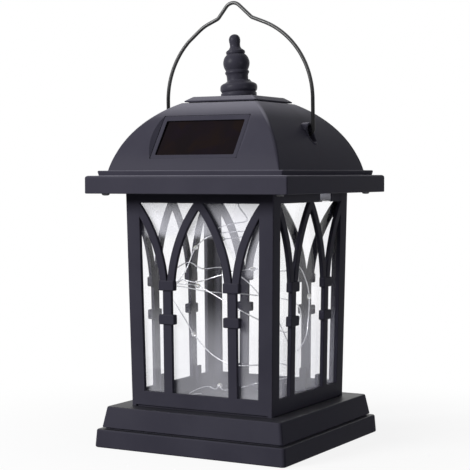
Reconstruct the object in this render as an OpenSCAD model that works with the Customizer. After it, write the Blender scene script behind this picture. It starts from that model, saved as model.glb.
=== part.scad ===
// Square garden lantern with a domed solar roof, in millimetres.
// Frame: origin on the ground at the middle of the base, +Z up, solar window
// towards -Y, bail pivots on the X sides. The roof lifts off the glazed cage.

/* [Base] */
// Width of the lower tier at the ground
base_w = 133.1; // [126:0.5:150]
// Height of the lower tier
base_low_h = 11.5; // [9:0.5:16]
// Inset of the upper tier from the lower tier's top edge
base_step = 2.4; // [1.5:0.1:4]
// Height of the upper tier
base_up_h = 13.8; // [11:0.2:18]
// Lean-in of each tier's sides over its height
base_draft = 0.8; // [0.2:0.1:1.2]
// Extra lean-in of the upper tier's sides
base_up_draft = 1.6; // [0:0.1:2]
// Wall thickness of the base moulding
base_wall = 2.2; // [1.6:0.1:3]
// Thickness of the stiffening ribs under the deck
rib_t = 1.6; // [1:0.1:2.4]
// Depth of the stiffening ribs under the deck
rib_h = 8; // [5:0.5:10]
// Depth of the groove that the cage stands in
seat_d = 1; // [0.6:0.1:1.4]
// Gap around the cage in its groove
seat_gap = 0.4; // [0.2:0.1:0.8]

/* [Cage] */
// Width of the cage where it meets the base
cage_w_low = 98.9; // [90:0.5:110]
// Width of the cage under the eave
cage_w_top = 103.5; // [99:0.5:112]
// Height of the cage from the base's deck to the eave
cage_h = 133.2; // [110:1:170]
// Thickness of a side panel
panel_t = 2.4; // [1.8:0.1:3.2]
// Face width of the corner posts
post_w = 8.8; // [6:0.2:12]
// Height of the bottom rail
rail_low_h = 9.7; // [6:0.1:14]
// Height of the top rail
rail_top_h = 5.8; // [5:0.1:9]
// Distance of a mullion from the middle of its face
mullion_x = 22.85; // [18:0.05:26]
// Width of a mullion
mullion_w = 5.8; // [4:0.1:6.6]
// Width of the arched bars
arch_w = 4.4; // [3:0.1:4.6]
// Offset of an arched bar from its mullion where it springs
arch_offset = 2.25; // [1.9:0.05:3]
// Width of a collar on a mullion
collar_w = 11.1; // [9:0.1:13]
// Height of a collar
collar_h = 6.2; // [4:0.1:8]
// How far a collar stands proud of its panel
collar_proud = 1.2; // [0.4:0.1:2]
// Height of the upper collar's middle above the deck
collar_high = 76.4; // [60:0.2:90]
// Distance between the two collars' middles
collar_pitch = 21; // [14:0.5:30]
// Thickness of a clear pane
pane_t = 1.6; // [1:0.1:2]
// Gap between a pane and its panel
pane_gap = 0.3; // [0.2:0.1:0.5]
// Width of the notch in the right panel's top rail
notch_w = 13; // [8:0.5:18]
// Distance of the notch from the middle of the right face
notch_y = 21; // [16:0.5:24]
// Width of a snap tongue under a side panel
tongue_w = 7; // [4:0.5:10]
// Length of a snap tongue below the groove
tongue_l = 4.2; // [3.4:0.1:6]

/* [Pane clips] */
// Width of a clip that holds a pane
clip_w = 8; // [5:0.5:12]
// Height of a clip above the deck
clip_h = 17; // [8:0.5:24]
// Thickness of a clip
clip_t = 2; // [1.4:0.1:2.6]

/* [Roof] */
// Overall width of the eave
eave_w = 140; // [136:0.5:152]
// Height of the eave's band
eave_h = 10.8; // [9:0.1:14]
// Inset of the small step above the eave
step_in = 5.5; // [3:0.1:7]
// Height of the small step above the eave
step_h = 3; // [2:0.1:4]
// Ledge between the step's edge and the foot of the dome
dome_ledge = 4.8; // [2:0.1:6]
// Depth of the dome's curve centre below its foot
dome_drop = 13; // [10:0.05:18]
// Wall thickness of the roof moulding
roof_wall = 2.2; // [1.6:0.1:2.6]
// Radius of the upright corners
corner_r = 2.2; // [1:0.1:4]
// Radius of the rounded long edges
edge_r = 1.4; // [0.6:0.1:2]
// Width of the cap plate, which sets how high the dome is cut off flat
cap_w = 51.2; // [48:0.1:58]
// Overhang of the cap plate around the dome's flat top
cap_over = 0.7; // [0.4:0.1:3]
// Height of the cap plate
cap_h = 3.4; // [2.4:0.1:5]
// Lean-in of the cap plate's sides
cap_lean = 4; // [2:0.1:6]
// Height of the shadow gap under the cap plate
cap_gap = 0.6; // [0.4:0.1:1]

/* [Ceiling plate] */
// Thickness of the plate that closes the roof
ceiling_t = 2.2; // [1.8:0.1:3]
// Gap around the plate inside the eave
ceiling_gap = 0.3; // [0.2:0.1:0.5]
// Depth of the corner ribs that centre the roof on the cage
locator_h = 3; // [2:0.1:4]
// Thickness of the centring ribs
locator_t = 1.6; // [1.2:0.1:2]
// Gap between the centring ribs and the panes
locator_gap = 0.5; // [0.3:0.1:0.8]
// Length of each centring rib from its corner
locator_l = 16; // [10:0.5:18]
// Distance of a corner screw from each edge of the eave
screw_inset = 9; // [8.6:0.1:10]
// Radius of a corner screw's head
screw_head_r = 2.5; // [2:0.1:3]
// Height of a corner screw's head
screw_head_h = 1.3; // [0.8:0.1:2]
// Radius of a corner screw's shank
screw_r = 1.3; // [1:0.05:1.5]
// Length of a corner screw's shank
screw_l = 7.5; // [6:0.1:8]

/* [Solar window] */
// Height of the window's lower edge above the eave's underside
window_low = 21.6; // [18:0.2:25]
// Height of the window's upper edge above the eave's underside
window_high = 48; // [44:0.2:50]
// Width of the bezel
bezel_w = 60.8; // [50:0.2:66]
// Width of the bezel's side rims
bezel_side = 2.9; // [2:0.1:5]
// Width of the bezel's upper and lower rims
bezel_end = 3.6; // [2:0.1:5]
// Thickness of the bezel
bezel_t = 2.5; // [2.4:0.1:3.4]
// Thickness of the bezel's lip over the cell
lip_t = 0.5; // [0.4:0.1:0.8]
// Overlap of the lip on the cell
lip_over = 0.9; // [0.6:0.1:1.2]
// Thickness of the clear resin over the cell
resin_t = 0.7; // [0.5:0.1:0.9]
// Thickness of the silicon strips
silicon_t = 0.3; // [0.2:0.05:0.4]
// Number of silicon strips
strips = 4; // [2:1:8]
// Gap between silicon strips
strip_gap = 0.6; // [0.3:0.1:1.2]

/* [Finial] */
// Height of the turned finial
finial_h = 40.5; // [37:0.5:48]
// Radius of the finial's foot
finial_r = 11.8; // [10.6:0.1:14]
// Height of the finial's foot
foot_h = 10; // [8.6:0.1:11]
// Radius of the stem above the foot
stem_r = 7.1; // [6.2:0.1:7.6]
// Radius of the ball on the stem
ball_r = 8.2; // [7.8:0.1:9]
// Height of the ball's middle above the foot
ball_up = 11.2; // [10:0.1:12]
// Radius of the slim neck above the ball
neck_r = 3.2; // [2.6:0.1:3.4]
// Radius of the rounded tip
tip_r = 3.5; // [3.4:0.1:4.4]
// Lean of the finial's stem off plumb, in degrees
finial_lean = 4.6; // [0:0.1:6]
// Radius of the finial screw's shank
finial_screw_r = 1.5; // [1.2:0.05:2]

/* [Bail] */
// Radius of the bail's wire
wire_r = 1.2; // [0.9:0.05:1.5]
// Distance of a bail leg from the dome at the pivot
bail_out = 2.7; // [2.6:0.1:6]
// Height of the bail's pivot above the eave's underside
pivot_h = 36.6; // [34:0.2:39]
// Straight length of a leg from the pivot to the arch
bail_leg = 22.4; // [15:0.2:40]
// Radius of the bend where a leg turns into the roof
bend_r = 3; // [2.6:0.1:3.4]
// Length of the pin that a leg ends in
pin_l = 5.2; // [4:0.1:8]
// Radial clearance of the pin in its hole
pin_gap = 0.07; // [0.02:0.01:0.1]
// Radius of the hanging bump at the top of the bail
bump_r = 6.6; // [5:0.1:8]
// Height of the bump's middle above the bail's arch
bump_up = 2.5; // [1:0.1:4]
// Sideways shift of the bump
bump_shift = -2.8; // [-4:0.1:4]
// Slope of the bump's left leg
bump_left_a = 51; // [44:1:60]
// Slope of the bump's right leg
bump_right_a = 45; // [40:1:60]
// Radius of the bends beside the bump
bump_bend_r = 4; // [3:0.1:6]
// Width of the oval hollow around the pin hole
eye_w = 7; // [6.4:0.1:9]
// Height of the oval hollow around the pin hole
eye_h = 11; // [9:0.1:13]
// Width of the raised lip around the hollow
eye_lip = 1.7; // [1:0.1:2.5]
// Gap between the lip's face and the bail's leg
eye_gap = 0.4; // [0.3:0.1:0.8]
// Depth of the hollow from the lip's face
eye_depth = 2.6; // [2:0.1:3.4]

/* [Battery bay] */
// Radius of the round cell
cell_r = 7.1; // [5:0.1:7.3]
// Length of the round cell over its nub
cell_l = 50.5; // [44:0.5:51]
// Gap around the cell
cell_gap = 0.35; // [0.2:0.05:0.6]
// Room for the spring behind the cell
spring_l = 2.6; // [2:0.1:4]
// Wall thickness of the battery holder
holder_wall = 1.6; // [1.2:0.1:2]
// Distance of the bay behind the middle
bay_y = 22; // [18:0.5:28]
// Thickness of the battery cover
cover_t = 1.4; // [1:0.1:1.6]
// Margin of the battery cover around its opening
cover_margin = 2; // [1.4:0.1:3]
// Length of the cover's screw lug
lug_l = 9; // [8:0.5:14]
// Gap around the battery cover
cover_gap = 0.2; // [0.1:0.05:0.4]
// Thickness of the contact plates
contact_t = 0.4; // [0.3:0.05:0.6]

/* [Switch and board] */
// Place of the switch, to the left of the middle
switch_x = 24; // [18:0.5:28]
// Place of the switch, in front of the middle
switch_y = 10; // [4:0.5:14]
// Travel of the switch
switch_travel = 2; // [1.5:0.1:2.5]
// Length of the switch housing
switch_l = 8.6; // [8.4:0.1:11]
// Width of the switch housing
switch_w = 4.4; // [4.2:0.1:6]
// Height of the switch housing
switch_h = 3.8; // [3.4:0.1:5]
// How far the slider's knob stands below the ceiling plate
knob_drop = 1.6; // [1:0.1:2.4]
// Length of the circuit board
board_l = 32; // [28:0.5:38]
// Width of the circuit board
board_w = 18; // [16:0.5:20]
// Thickness of the circuit board
board_t = 1.2; // [0.8:0.1:1.6]
// Place of the board, to the right of the middle
board_x = 24; // [20:0.5:26]
// Place of the board, in front of the middle
board_y = 16; // [12:0.5:20]
// Height of the board's standoffs
standoff_h = 5; // [4:0.1:7]

/* [Light string] */
// Radius of the light string's twisted wire
string_r = 0.35; // [0.25:0.05:0.5]
// Radius of an LED's resin bead
bead_r = 1.4; // [1:0.1:1.8]
// Radius of the grommet's flange
grommet_r = 4; // [3.6:0.1:5]

/* [Hidden] */
$fn = 96;

// A cut runs this far past the face that it opens.
past = 1;
// Half of the hairline left at each mitred corner of the cage.
mitre_gap = 0.05;

// Heights, from the ground up.
deck_z = base_low_h + base_up_h;
eave_z = deck_z + cage_h;
step_z = eave_z + eave_h;
dome_z = step_z + step_h;
dome_axis_z = dome_z - dome_drop;
dome_r = norm([eave_w / 2 - step_in - dome_ledge, dome_drop]);
dome_top_half = cap_w / 2 - cap_over;
dome_top_z = dome_axis_z + sqrt(dome_r * dome_r - dome_top_half * dome_top_half);
cap_z = dome_top_z + cap_gap;
cap_top_z = cap_z + cap_h;
pivot_z = eave_z + pivot_h;
ceiling_top_z = eave_z + ceiling_t;

// The dome: two cylinders of one radius whose axes cross at one height.
function dome_half(z) = sqrt(dome_r * dome_r - (z - dome_axis_z) * (z - dome_axis_z));

// Inset of the neck that the cap plate stands on.
cap_neck_in = 1.4;

// The cage widens evenly from the deck to the eave.
cage_lean = atan((cage_w_top - cage_w_low) / 2 / cage_h);
function cage_half(z) = cage_w_low / 2 + (z - deck_z) * tan(cage_lean);
pane_in = panel_t + pane_gap;
glazing_in = pane_in + pane_t;
seat_z = deck_z - seat_d;
opening_z = deck_z + rail_low_h;
opening_top_z = eave_z - rail_top_h;

// The two bars above a mullion are arcs that stand upright at this height.
arch_z = deck_z + collar_high - collar_h;
arch_run = mullion_x - arch_offset;
arch_rise = opening_top_z - arch_z;
arch_r = (arch_run * arch_run + arch_rise * arch_rise) / (2 * arch_run);

// The solar window lies on the chord between two heights of the front side.
window_z = [eave_z + window_low, eave_z + window_high];
window_y = [dome_half(window_z[0]), dome_half(window_z[1])];
window_tilt = atan2(window_z[1] - window_z[0], window_y[0] - window_y[1]);
bezel_l = norm([window_z[1] - window_z[0], window_y[0] - window_y[1]]);
window_gap = 0.15;
module_t = bezel_t - lip_t;
module_w = bezel_w - 2 * bezel_side + 2 * lip_over;
module_l = bezel_l - 2 * bezel_end + 2 * lip_over;
lead_slot = [8, 4];

// A point behind the middle of the window, at a depth from its outer face.
function window_inside(depth) = [-lead_pitch / 2,
    depth * sin(window_tilt) - (window_y[0] + window_y[1]) / 2,
    (window_z[0] + window_z[1]) / 2 - depth * cos(window_tilt)];

// The bail, in its own upright plane.
bail_x = dome_half(pivot_z) + bail_out;
bail_z = pivot_z + bail_leg;
bump = [bump_shift, bail_z + bail_x + bump_up];
eye_face_x = bail_x - wire_r - eye_gap;
eye_floor_x = eye_face_x - eye_depth;
pin_end_x = bail_x - bend_r - pin_l;
joint_trim = 0.05;
joint_over = 0.06;
joint_l = 0.6;

// Clearance at each end of a rib under the deck.
rib_end_gap = 3;

// Screws, bosses and the parts on the ceiling plate.
screw_at = eave_w / 2 - screw_inset;
screw_boss_r = 3.6;
screw_clearance = 0.15;
bay_l = cell_l + spring_l + contact_t;
bay_half_w = cell_r + cell_gap;
cell_z = eave_z + cover_t + cell_gap + cell_r;
bay_top_z = cell_z + cell_r + cell_gap;
bay_x = bay_l / 2;
nub = [2.7, 1.4];
contact_w = 11.4;
spring_wire = 0.3;
lug_x = bay_x + cover_margin + lug_l / 2;
cover_screw_r = 1.2;
cover_screw_head = [2.2, 1];
cover_boss = [3, 6];
board_z = ceiling_top_z + standoff_h;
board_top_z = board_z + board_t;
board_post_in = 3.5;
board_post_x = board_l / 2 - board_post_in;
board_screw_r = 1;
board_screw_head = [2.1, 1.3];
standoff_r = 2.4;
chip = [4, 1.6, 3];
chip_leg = [0.4, 0.4, 2];
chip_legs = 4;
inductor_r = 1.6;
inductor_l = 6;
inductor_leg = 0.6;
inductor_reach = 2;
inductor_at = [6, -4];
grommet_hole_r = 2.5;
grommet_flange = 0.9;
string_hole_r = string_r + 0.05;
light_top_z = eave_z - grommet_flange;

// The finial's turned details, and the screw that holds it from inside the dome.
foot_bead_r = 3;
foot_step = 0.8;
shoulder_h = 2;
stem_root = 2;
stem_ring = 0.35;
stem_ring_h = 1.3;
finial_screw_l = 8;
finial_screw_head = [2.85, 2];

// Cross-section of the slide switch's knob, and of its foot inside the housing.
knob = [1.8, 1.6];
knob_foot = [3.4, 2.4, 1.2];
switch_gap = 0.2;

// Route of the light string below the grommet: loose turns in the cage, then a short run on the deck.
light_route = [
    [0, 0, light_top_z], [0, 0, 150], [6, 0, 141], [-4, -4, 138.5], [-9, -15, 135],
    [0, -22, 130], [14, -13, 132], [5, -4, 134], [-8, -20, 132], [-19, -22, 124],
    [-25, -24, 110], [-31, -27, 100.5], [-24, -30, 104], [-13, -31, 103], [5, -31, 108],
    [24, -26, 112], [36, -8, 110], [37, 9, 112], [38, 18, 102.5], [38, 22.5, 92],
    [37, 23.5, 78], [37, 19.5, 66], [36, 9, 58], [27, 16, 61], [8, 32, 78], [-9, 30, 98],
    [-18, 12, 109], [-27, 0, 109], [-37, -2, 113], [-38, -20, 107], [-25, -34, 102],
    [-10, -35, 101], [10, -35, 92], [24, -35, 85.5], [36, -26, 78], [37.5, -8, 72],
    [36, 14, 80], [20, 34, 87], [-12, 36, 90], [-35, 22, 92], [-39, -12, 98], [-35, -34, 96],
    [-26, -38, 91], [-18, -38, 81], [-11, -38, 71], [-3, -38, 63], [6, -38, 57],
    [18, -38, 53.5], [33, -32, 54], [37, -10, 52], [32, 14, 42], [14, 30, 36], [-6, 34, 31],
    [-16, 27, 28], [-22, 18, 27.6], [-25, 18, 30.6], [-28, 18, 27.8], [-35, 19, 29],
    [-37, 6, 28], [-32, -9, 27.6], [-20, -14, 30]
];
// Points of the route that carry an LED.
led_points = [5, 9, 15, 19, 24, 31, 37, 44, 47, 55];

// Routes of the leads inside the roof, from their terminals to the circuit board. The points
// between are given from the ceiling plate's top face upwards.
lead_r = 0.6;
lead_pitch = 2;
lead_hole_r = lead_r + 0.25;
function above_plate(points) = [for (p = points) p + [0, 0, ceiling_top_z]];
function drop_to(x, y, z) = [for (up = [3, 1.5, 0]) [x, y, z + up]];
function rise_from(x, y, z) = [for (up = [0, 1, 2]) [x, y, z + up]];
function from_bay(side) =
    [for (out = [0, holder_wall / 2, holder_wall]) [side * (bay_x + out), bay_y, cell_z]];
panel_route = concat(
    [for (depth = [0, 1 / 2, 1]) window_inside(bezel_t + depth * roof_wall)],
    [window_inside(bezel_t + 3 * roof_wall)],
    above_plate([[6, -34, 24], [12, -27, 19], [16, -21, 13]]), drop_to(17, -20, board_top_z));
battery_route = concat(from_bay(1),
    above_plate([[32, 19, 7.3], [35, 9, 10.3], [33, -4, 11.3]]), drop_to(31, -10, board_top_z));
battery_route_2 = concat(from_bay(-1),
    above_plate([[-33, 17, 10.3], [-28, 7, 13.3], [-8, 1, 14.3], [14, -5, 12.3]]),
    drop_to(21, -10, board_top_z));
switch_route = concat(rise_from(-22, -9, ceiling_top_z + switch_h),
    above_plate([[-18, -10, 9.3], [-9, -12, 12.3], [4, -12, 13.3]]), drop_to(12, -10, board_top_z));
string_lead_route = concat(rise_from(9, -8.5, board_top_z),
    above_plate([[5, -5, 9.3], [0.5, -0.5, 6.3], [0, 0, 3.8], [0, 0, grommet_flange]]),
    [[0, 0, light_top_z]]);

// ---------- helpers ----------

function unit(v) = v / norm(v);
function mirror_x(pts) = [for (i = [len(pts) - 1:-1:0]) [-pts[i][0], pts[i][1]]];
// Points of a quarter round that turns a wall's top edge inward.
function edge_round(half, z, r) =
    [for (i = [0:4]) [half - r + r * cos(i * 22.5), z - r + r * sin(i * 22.5)]];

module ring_of_four(at) {
    for (x = [-at, at], y = [-at, at]) translate([x, y, 0]) children();
}

// A solid with the same outline seen from the front and from the side.
module square_form(side) {
    reach = max([for (p = side) p[0]]);
    intersection() {
        rotate([90, 0, 0]) linear_extrude(2 * reach, center = true)
            polygon(concat(side, mirror_x(side)));
        rotate([90, 0, 90]) linear_extrude(2 * reach, center = true)
            polygon(concat(side, mirror_x(side)));
    }
}

// An upright square bar with rounded corners.
module round_bar(w, z0, z1, r = corner_r) {
    translate([0, 0, z0]) linear_extrude(z1 - z0) union() {
        square([w, w - 2 * r], center = true);
        square([w - 2 * r, w], center = true);
        for (x = [-1, 1], y = [-1, 1]) translate([x, y] * (w / 2 - r)) circle(r, $fn = 32);
    }
}

module block(half_x, half_y, z0, z1) {
    translate([-half_x, -half_y, z0]) cube([2 * half_x, 2 * half_y, z1 - z0]);
}

module dome(r, z0, z1) {
    reach = dome_r + past;
    intersection() {
        translate([0, 0, dome_axis_z]) rotate([90, 0, 0]) cylinder(2 * reach, r = r, center = true);
        translate([0, 0, dome_axis_z]) rotate([0, 90, 0]) cylinder(2 * reach, r = r, center = true);
        block(reach, reach, z0, z1);
    }
}

// Turns a part of the front face to face k: 0 front, 1 right, 2 back, 3 left.
module on_face(k) rotate([0, 0, 90 * k]) children();

// Local x across the front face, y up it, z outward, from its lower edge on the deck.
module cage_plane(depth) {
    translate([0, -cage_w_low / 2, deck_z]) rotate([90 + cage_lean, 0, 0])
        translate([0, 0, -depth]) children();
}

// The quarter of the cage that belongs to the front face.
module mitre(z0, z1, gap) {
    reach = eave_w / 2;
    translate([0, 0, z0]) linear_extrude(z1 - z0)
        polygon([[0, -gap], [-reach, -reach - gap], [reach, -reach - gap]]);
}

// A tube with eight sides along a smooth curve through the given points.
function curve_point(p, i, t) =
    let (n = len(p) - 1, a = p[max(i - 1, 0)], b = p[i], c = p[min(i + 1, n)], d = p[min(i + 2, n)])
    0.5 * (2 * b + (c - a) * t + (2 * a - 5 * b + 4 * c - d) * t * t
        + (3 * b - a - 3 * c + d) * t * t * t);
function curve(p, steps) =
    concat([for (i = [0:len(p) - 2], s = [0:steps - 1]) curve_point(p, i, s / steps)],
        [p[len(p) - 1]]);
function tangents(c) =
    [for (i = [0:len(c) - 1]) unit(c[min(i + 1, len(c) - 1)] - c[max(i - 1, 0)])];
function carried(t, i, n) =
    i >= len(t) ? [] : let (m = unit(n - (n * t[i]) * t[i])) concat([m], carried(t, i + 1, m));
module tube(points, r, steps = 2) {
    sides = 8;
    c = curve(points, steps);
    t = tangents(c);
    n = carried(t, 0, abs(t[0][2]) < 0.9 ? [0, 0, 1] : [1, 0, 0]);
    last = len(c) - 1;
    polyhedron(
        [for (i = [0:last], k = [0:sides - 1])
            c[i] + r * (cos(k * 360 / sides) * n[i] + sin(k * 360 / sides) * cross(t[i], n[i]))],
        concat(
            [[for (k = [0:sides - 1]) k]],
            [for (i = [0:last - 1], k = [0:sides - 1]) let (j = (k + 1) % sides)
                [i * sides + k, (i + 1) * sides + k, (i + 1) * sides + j, i * sides + j]],
            [[for (k = [sides - 1:-1:0]) last * sides + k]]));
}

// ---------- base ----------

module base_outside(inset) {
    low = base_w / 2;
    low_top = low - base_draft;
    up = low_top - base_step;
    up_top = up - base_draft - base_up_draft;
    square_form(concat(
        [[low - inset, inset > 0 ? -past : 0], [low_top - inset, base_low_h - edge_r / 2 - inset]],
        inset > 0 ? [[up - inset, base_low_h - inset]]
            : edge_round(low_top, base_low_h, edge_r / 2),
        inset > 0 ? [] : [[up, base_low_h]],
        inset > 0 ? [[up_top - inset, deck_z - inset]]
            : edge_round(up_top, deck_z, edge_r)));
}

module face_pair(x) for (s = [-1, 1]) translate([s * x, 0, 0]) children();

module base_shell() {
    groove_out = cage_half(deck_z) + seat_gap;
    groove_in = cage_half(seat_z) - glazing_in - seat_gap;
    clip_out = cage_half(deck_z) - glazing_in - pane_gap;
    tongue_y = cage_half(seat_z) - panel_t / 2;
    rib_l = base_w - 2 * (base_wall + rib_end_gap);
    color([0.10, 0.10, 0.12]) difference() {
        union() {
            difference() {
                intersection() {
                    base_outside(0);
                    round_bar(base_w, 0, deck_z);
                }
                base_outside(base_wall);
            }
            for (k = [0, 1]) on_face(k)
                translate([-rib_l / 2, -rib_t / 2, deck_z - base_wall - rib_h])
                    cube([rib_l, rib_t, rib_h + base_wall / 2]);
            for (k = [0:3]) on_face(k) face_pair(mullion_x)
                translate([-clip_w / 2, -clip_out, deck_z - base_wall / 2])
                    cube([clip_w, clip_t, clip_h + base_wall / 2]);
        }
        difference() {
            block(groove_out, groove_out, seat_z, deck_z + past);
            block(groove_in, groove_in, seat_z - past, deck_z + clip_h + past);
            for (k = [0:3]) on_face(k) face_pair(mullion_x)
                translate([-clip_w / 2, -clip_out, seat_z])
                    cube([clip_w, clip_t, clip_h + seat_d]);
        }
        for (k = [0:3]) on_face(k) face_pair(mullion_x)
            translate([-tongue_w / 2 - seat_gap / 2, -tongue_y - panel_t / 2 - seat_gap / 2,
                deck_z - base_wall - past])
                cube([tongue_w + seat_gap, panel_t + seat_gap, base_wall + past]);
    }
}

// ---------- cage ----------

module opening_outline() {
    v0 = opening_z - deck_z;
    v1 = opening_top_z - deck_z;
    polygon([[-cage_half(opening_z) + post_w, v0], [cage_half(opening_z) - post_w, v0],
        [cage_half(opening_top_z) - post_w, v1], [-cage_half(opening_top_z) + post_w, v1]]);
}

// Half of the tracery: one mullion and the two arched bars that spring from it.
module tracery_half() {
    v_arch = arch_z - deck_z;
    v_top = cage_h - rail_top_h / 2;
    v_collar = collar_high;
    translate([mullion_x - mullion_w / 2, rail_low_h / 2])
        square([mullion_w, v_collar - rail_low_h / 2]);
    intersection() {
        translate([mullion_x - arch_offset - arch_r, v_arch]) arch_ring();
        translate([0, v_collar]) square([mullion_x, v_top - v_collar]);
    }
    intersection() {
        translate([mullion_x + arch_offset + arch_r, v_arch]) arch_ring();
        translate([mullion_x, v_collar])
            square([cage_half(opening_top_z) - post_w / 2 - mullion_x, v_top - v_collar]);
    }
}

module arch_ring() difference() {
    circle(arch_r + arch_w / 2, $fn = 240);
    circle(arch_r - arch_w / 2, $fn = 240);
}

module side_panel(notched = false) {
    reach = cage_w_top / 2 + past;
    color([0.11, 0.11, 0.13]) union() {
        intersection() {
            cage_plane(panel_t) linear_extrude(panel_t) union() {
                difference() {
                    translate([-reach, -seat_d - past]) square([2 * reach, cage_h + seat_d + 2 * past]);
                    opening_outline();
                    if (notched) translate([notch_y - notch_w / 2, cage_h - rail_top_h - past])
                        square([notch_w, rail_top_h + 2 * past]);
                }
                tracery_half();
                mirror([1, 0]) tracery_half();
            }
            mitre(seat_z, eave_z, mitre_gap);
        }
        cage_plane(panel_t) face_pair(mullion_x) for (v = [collar_high, collar_high - collar_pitch])
            translate([-collar_w / 2, v - collar_h / 2, 0])
                cube([collar_w, collar_h, panel_t + collar_proud]);
        face_pair(mullion_x)
            translate([-tongue_w / 2, -cage_half(seat_z), seat_z - tongue_l])
                cube([tongue_w, panel_t, tongue_l + rail_low_h / 2]);
    }
}

module front_panel() side_panel();
module right_panel() on_face(1) side_panel(true);
module back_panel() on_face(2) side_panel();
module left_panel() on_face(3) side_panel();

module pane(tabbed = false) {
    reach = cage_w_top / 2;
    color([0.85, 0.86, 0.93, 0.35]) union() {
        intersection() {
            cage_plane(glazing_in) linear_extrude(pane_t)
                translate([-reach, -seat_d - past]) square([2 * reach, cage_h + 2 * past]);
            mitre(seat_z, eave_z - pane_gap, pane_gap);
        }
        if (tabbed) intersection() {
            cage_plane(glazing_in) linear_extrude(glazing_in)
                translate([notch_y - notch_w / 2 + pane_gap, cage_h - rail_top_h])
                    square([notch_w - 2 * pane_gap, rail_top_h]);
            block(reach, reach, opening_top_z, eave_z - pane_gap);
        }
    }
}

module front_pane() pane();
module right_pane() on_face(1) pane(true);
module back_pane() on_face(2) pane();
module left_pane() on_face(3) pane();

// ---------- roof ----------

module eave_outside() {
    half = eave_w / 2;
    intersection() {
        square_form(concat([[half, eave_z]], edge_round(half, step_z, edge_r),
            [[half - step_in, step_z]], edge_round(half - step_in, dome_z, edge_r / 2)));
        round_bar(eave_w, eave_z, dome_z);
    }
}

// Local x across the window, y up its slope, z outward, from the middle of its face.
module at_window() {
    translate([0, -(window_y[0] + window_y[1]) / 2, (window_z[0] + window_z[1]) / 2])
        rotate([window_tilt, 0, 0]) children();
}

module oval_x(w, h, x0, x1) {
    translate([x0, 0, pivot_z]) rotate([90, 0, 90]) linear_extrude(x1 - x0) union() {
        square([w, h - w], center = true);
        for (s = [-1, 1]) translate([0, s * (h - w) / 2]) circle(w / 2, $fn = 48);
    }
}

module roof_outside() {
    eave_outside();
    dome(dome_r, dome_z - step_h / 2, dome_top_z);
}

module roof_hollow() {
    block(eave_w / 2 - roof_wall, eave_w / 2 - roof_wall, eave_z - past, step_z - roof_wall);
    dome(dome_r - roof_wall, step_z - roof_wall - past, dome_top_z - roof_wall);
}

module roof_shell() {
    color([0.10, 0.10, 0.12]) difference() {
        union() {
            difference() {
                roof_outside();
                roof_hollow();
            }
            intersection() {
                at_window() translate([-bezel_w / 2 - roof_wall, -bezel_l / 2 - roof_wall,
                    -bezel_t - roof_wall])
                    cube([bezel_w + 2 * roof_wall, bezel_l + 2 * roof_wall, bezel_t + 3 * roof_wall]);
                roof_outside();
            }
            ring_of_four(screw_at) translate([0, 0, ceiling_top_z])
                cylinder(step_z - roof_wall / 2 - ceiling_top_z, r = screw_boss_r);
            for (k = [0, 2]) on_face(k) {
                oval_x(eye_w + 2 * eye_lip, eye_h + 2 * eye_lip, eye_floor_x - roof_wall, eye_face_x);
                translate([pin_end_x, 0, pivot_z]) rotate([0, 90, 0])
                    cylinder(eye_floor_x - pin_end_x, r = eye_w / 2);
            }
        }
        at_window() translate([-bezel_w / 2 - window_gap, -bezel_l / 2 - window_gap, -bezel_t])
            cube([bezel_w + 2 * window_gap, bezel_l + 2 * window_gap, bezel_t + 4 * roof_wall]);
        at_window() translate([-lead_slot[0] / 2, -lead_slot[1] / 2, -bezel_t - roof_wall - past])
            cube([lead_slot[0], lead_slot[1], roof_wall + 2 * past]);
        ring_of_four(screw_at) translate([0, 0, ceiling_top_z - past])
            cylinder(screw_l - ceiling_t + past + screw_clearance, r = screw_r + pin_gap);
        translate([0, 0, dome_top_z - roof_wall - past])
            cylinder(roof_wall + 2 * past, r = finial_screw_r + screw_clearance);
        for (k = [0, 2]) on_face(k) {
            oval_x(eye_w, eye_h, eye_floor_x, bail_x + past);
            translate([pin_end_x - past, 0, pivot_z]) rotate([0, 90, 0])
                cylinder(eye_floor_x - pin_end_x + 2 * past, r = wire_r + pin_gap);
        }
    }
}

module cap_plate() {
    half = cap_w / 2;
    neck = dome_top_half - cap_neck_in;
    root_z = cap_z + cap_h / 5;
    color([0.13, 0.13, 0.15]) difference() {
        union() {
            square_form([[half, cap_z], [half, root_z], [half - cap_lean, cap_top_z]]);
            block(neck, neck, dome_top_z, root_z);
        }
        translate([0, 0, dome_top_z - past])
            cylinder(cap_h + cap_gap + 2 * past, r = finial_screw_r + screw_clearance);
    }
}

// The finial's foot stands upright on the cap plate; its turned stem leans a little.
module finial() {
    color([0.10, 0.10, 0.12]) difference() {
        union() {
            translate([0, 0, cap_top_z]) rotate_extrude() foot_outline();
            translate([0, 0, cap_top_z + foot_h - stem_root]) rotate([0, -finial_lean, 0])
                rotate_extrude() stem_outline();
        }
        translate([0, 0, cap_top_z - past]) cylinder(finial_screw_l + past, r = finial_screw_r);
    }
}

// A base ring, a full bead and a shoulder that narrows to the stem.
module foot_outline() {
    bead_z = foot_h - shoulder_h - foot_bead_r;
    square([finial_r - foot_step, bead_z]);
    square([finial_r - foot_bead_r, foot_h - shoulder_h]);
    translate([finial_r - foot_bead_r, bead_z]) circle(foot_bead_r, $fn = 48);
    translate([0, foot_h - shoulder_h])
        polygon([[0, 0], [finial_r - foot_bead_r, 0], [stem_r, shoulder_h], [0, shoulder_h]]);
}

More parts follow.
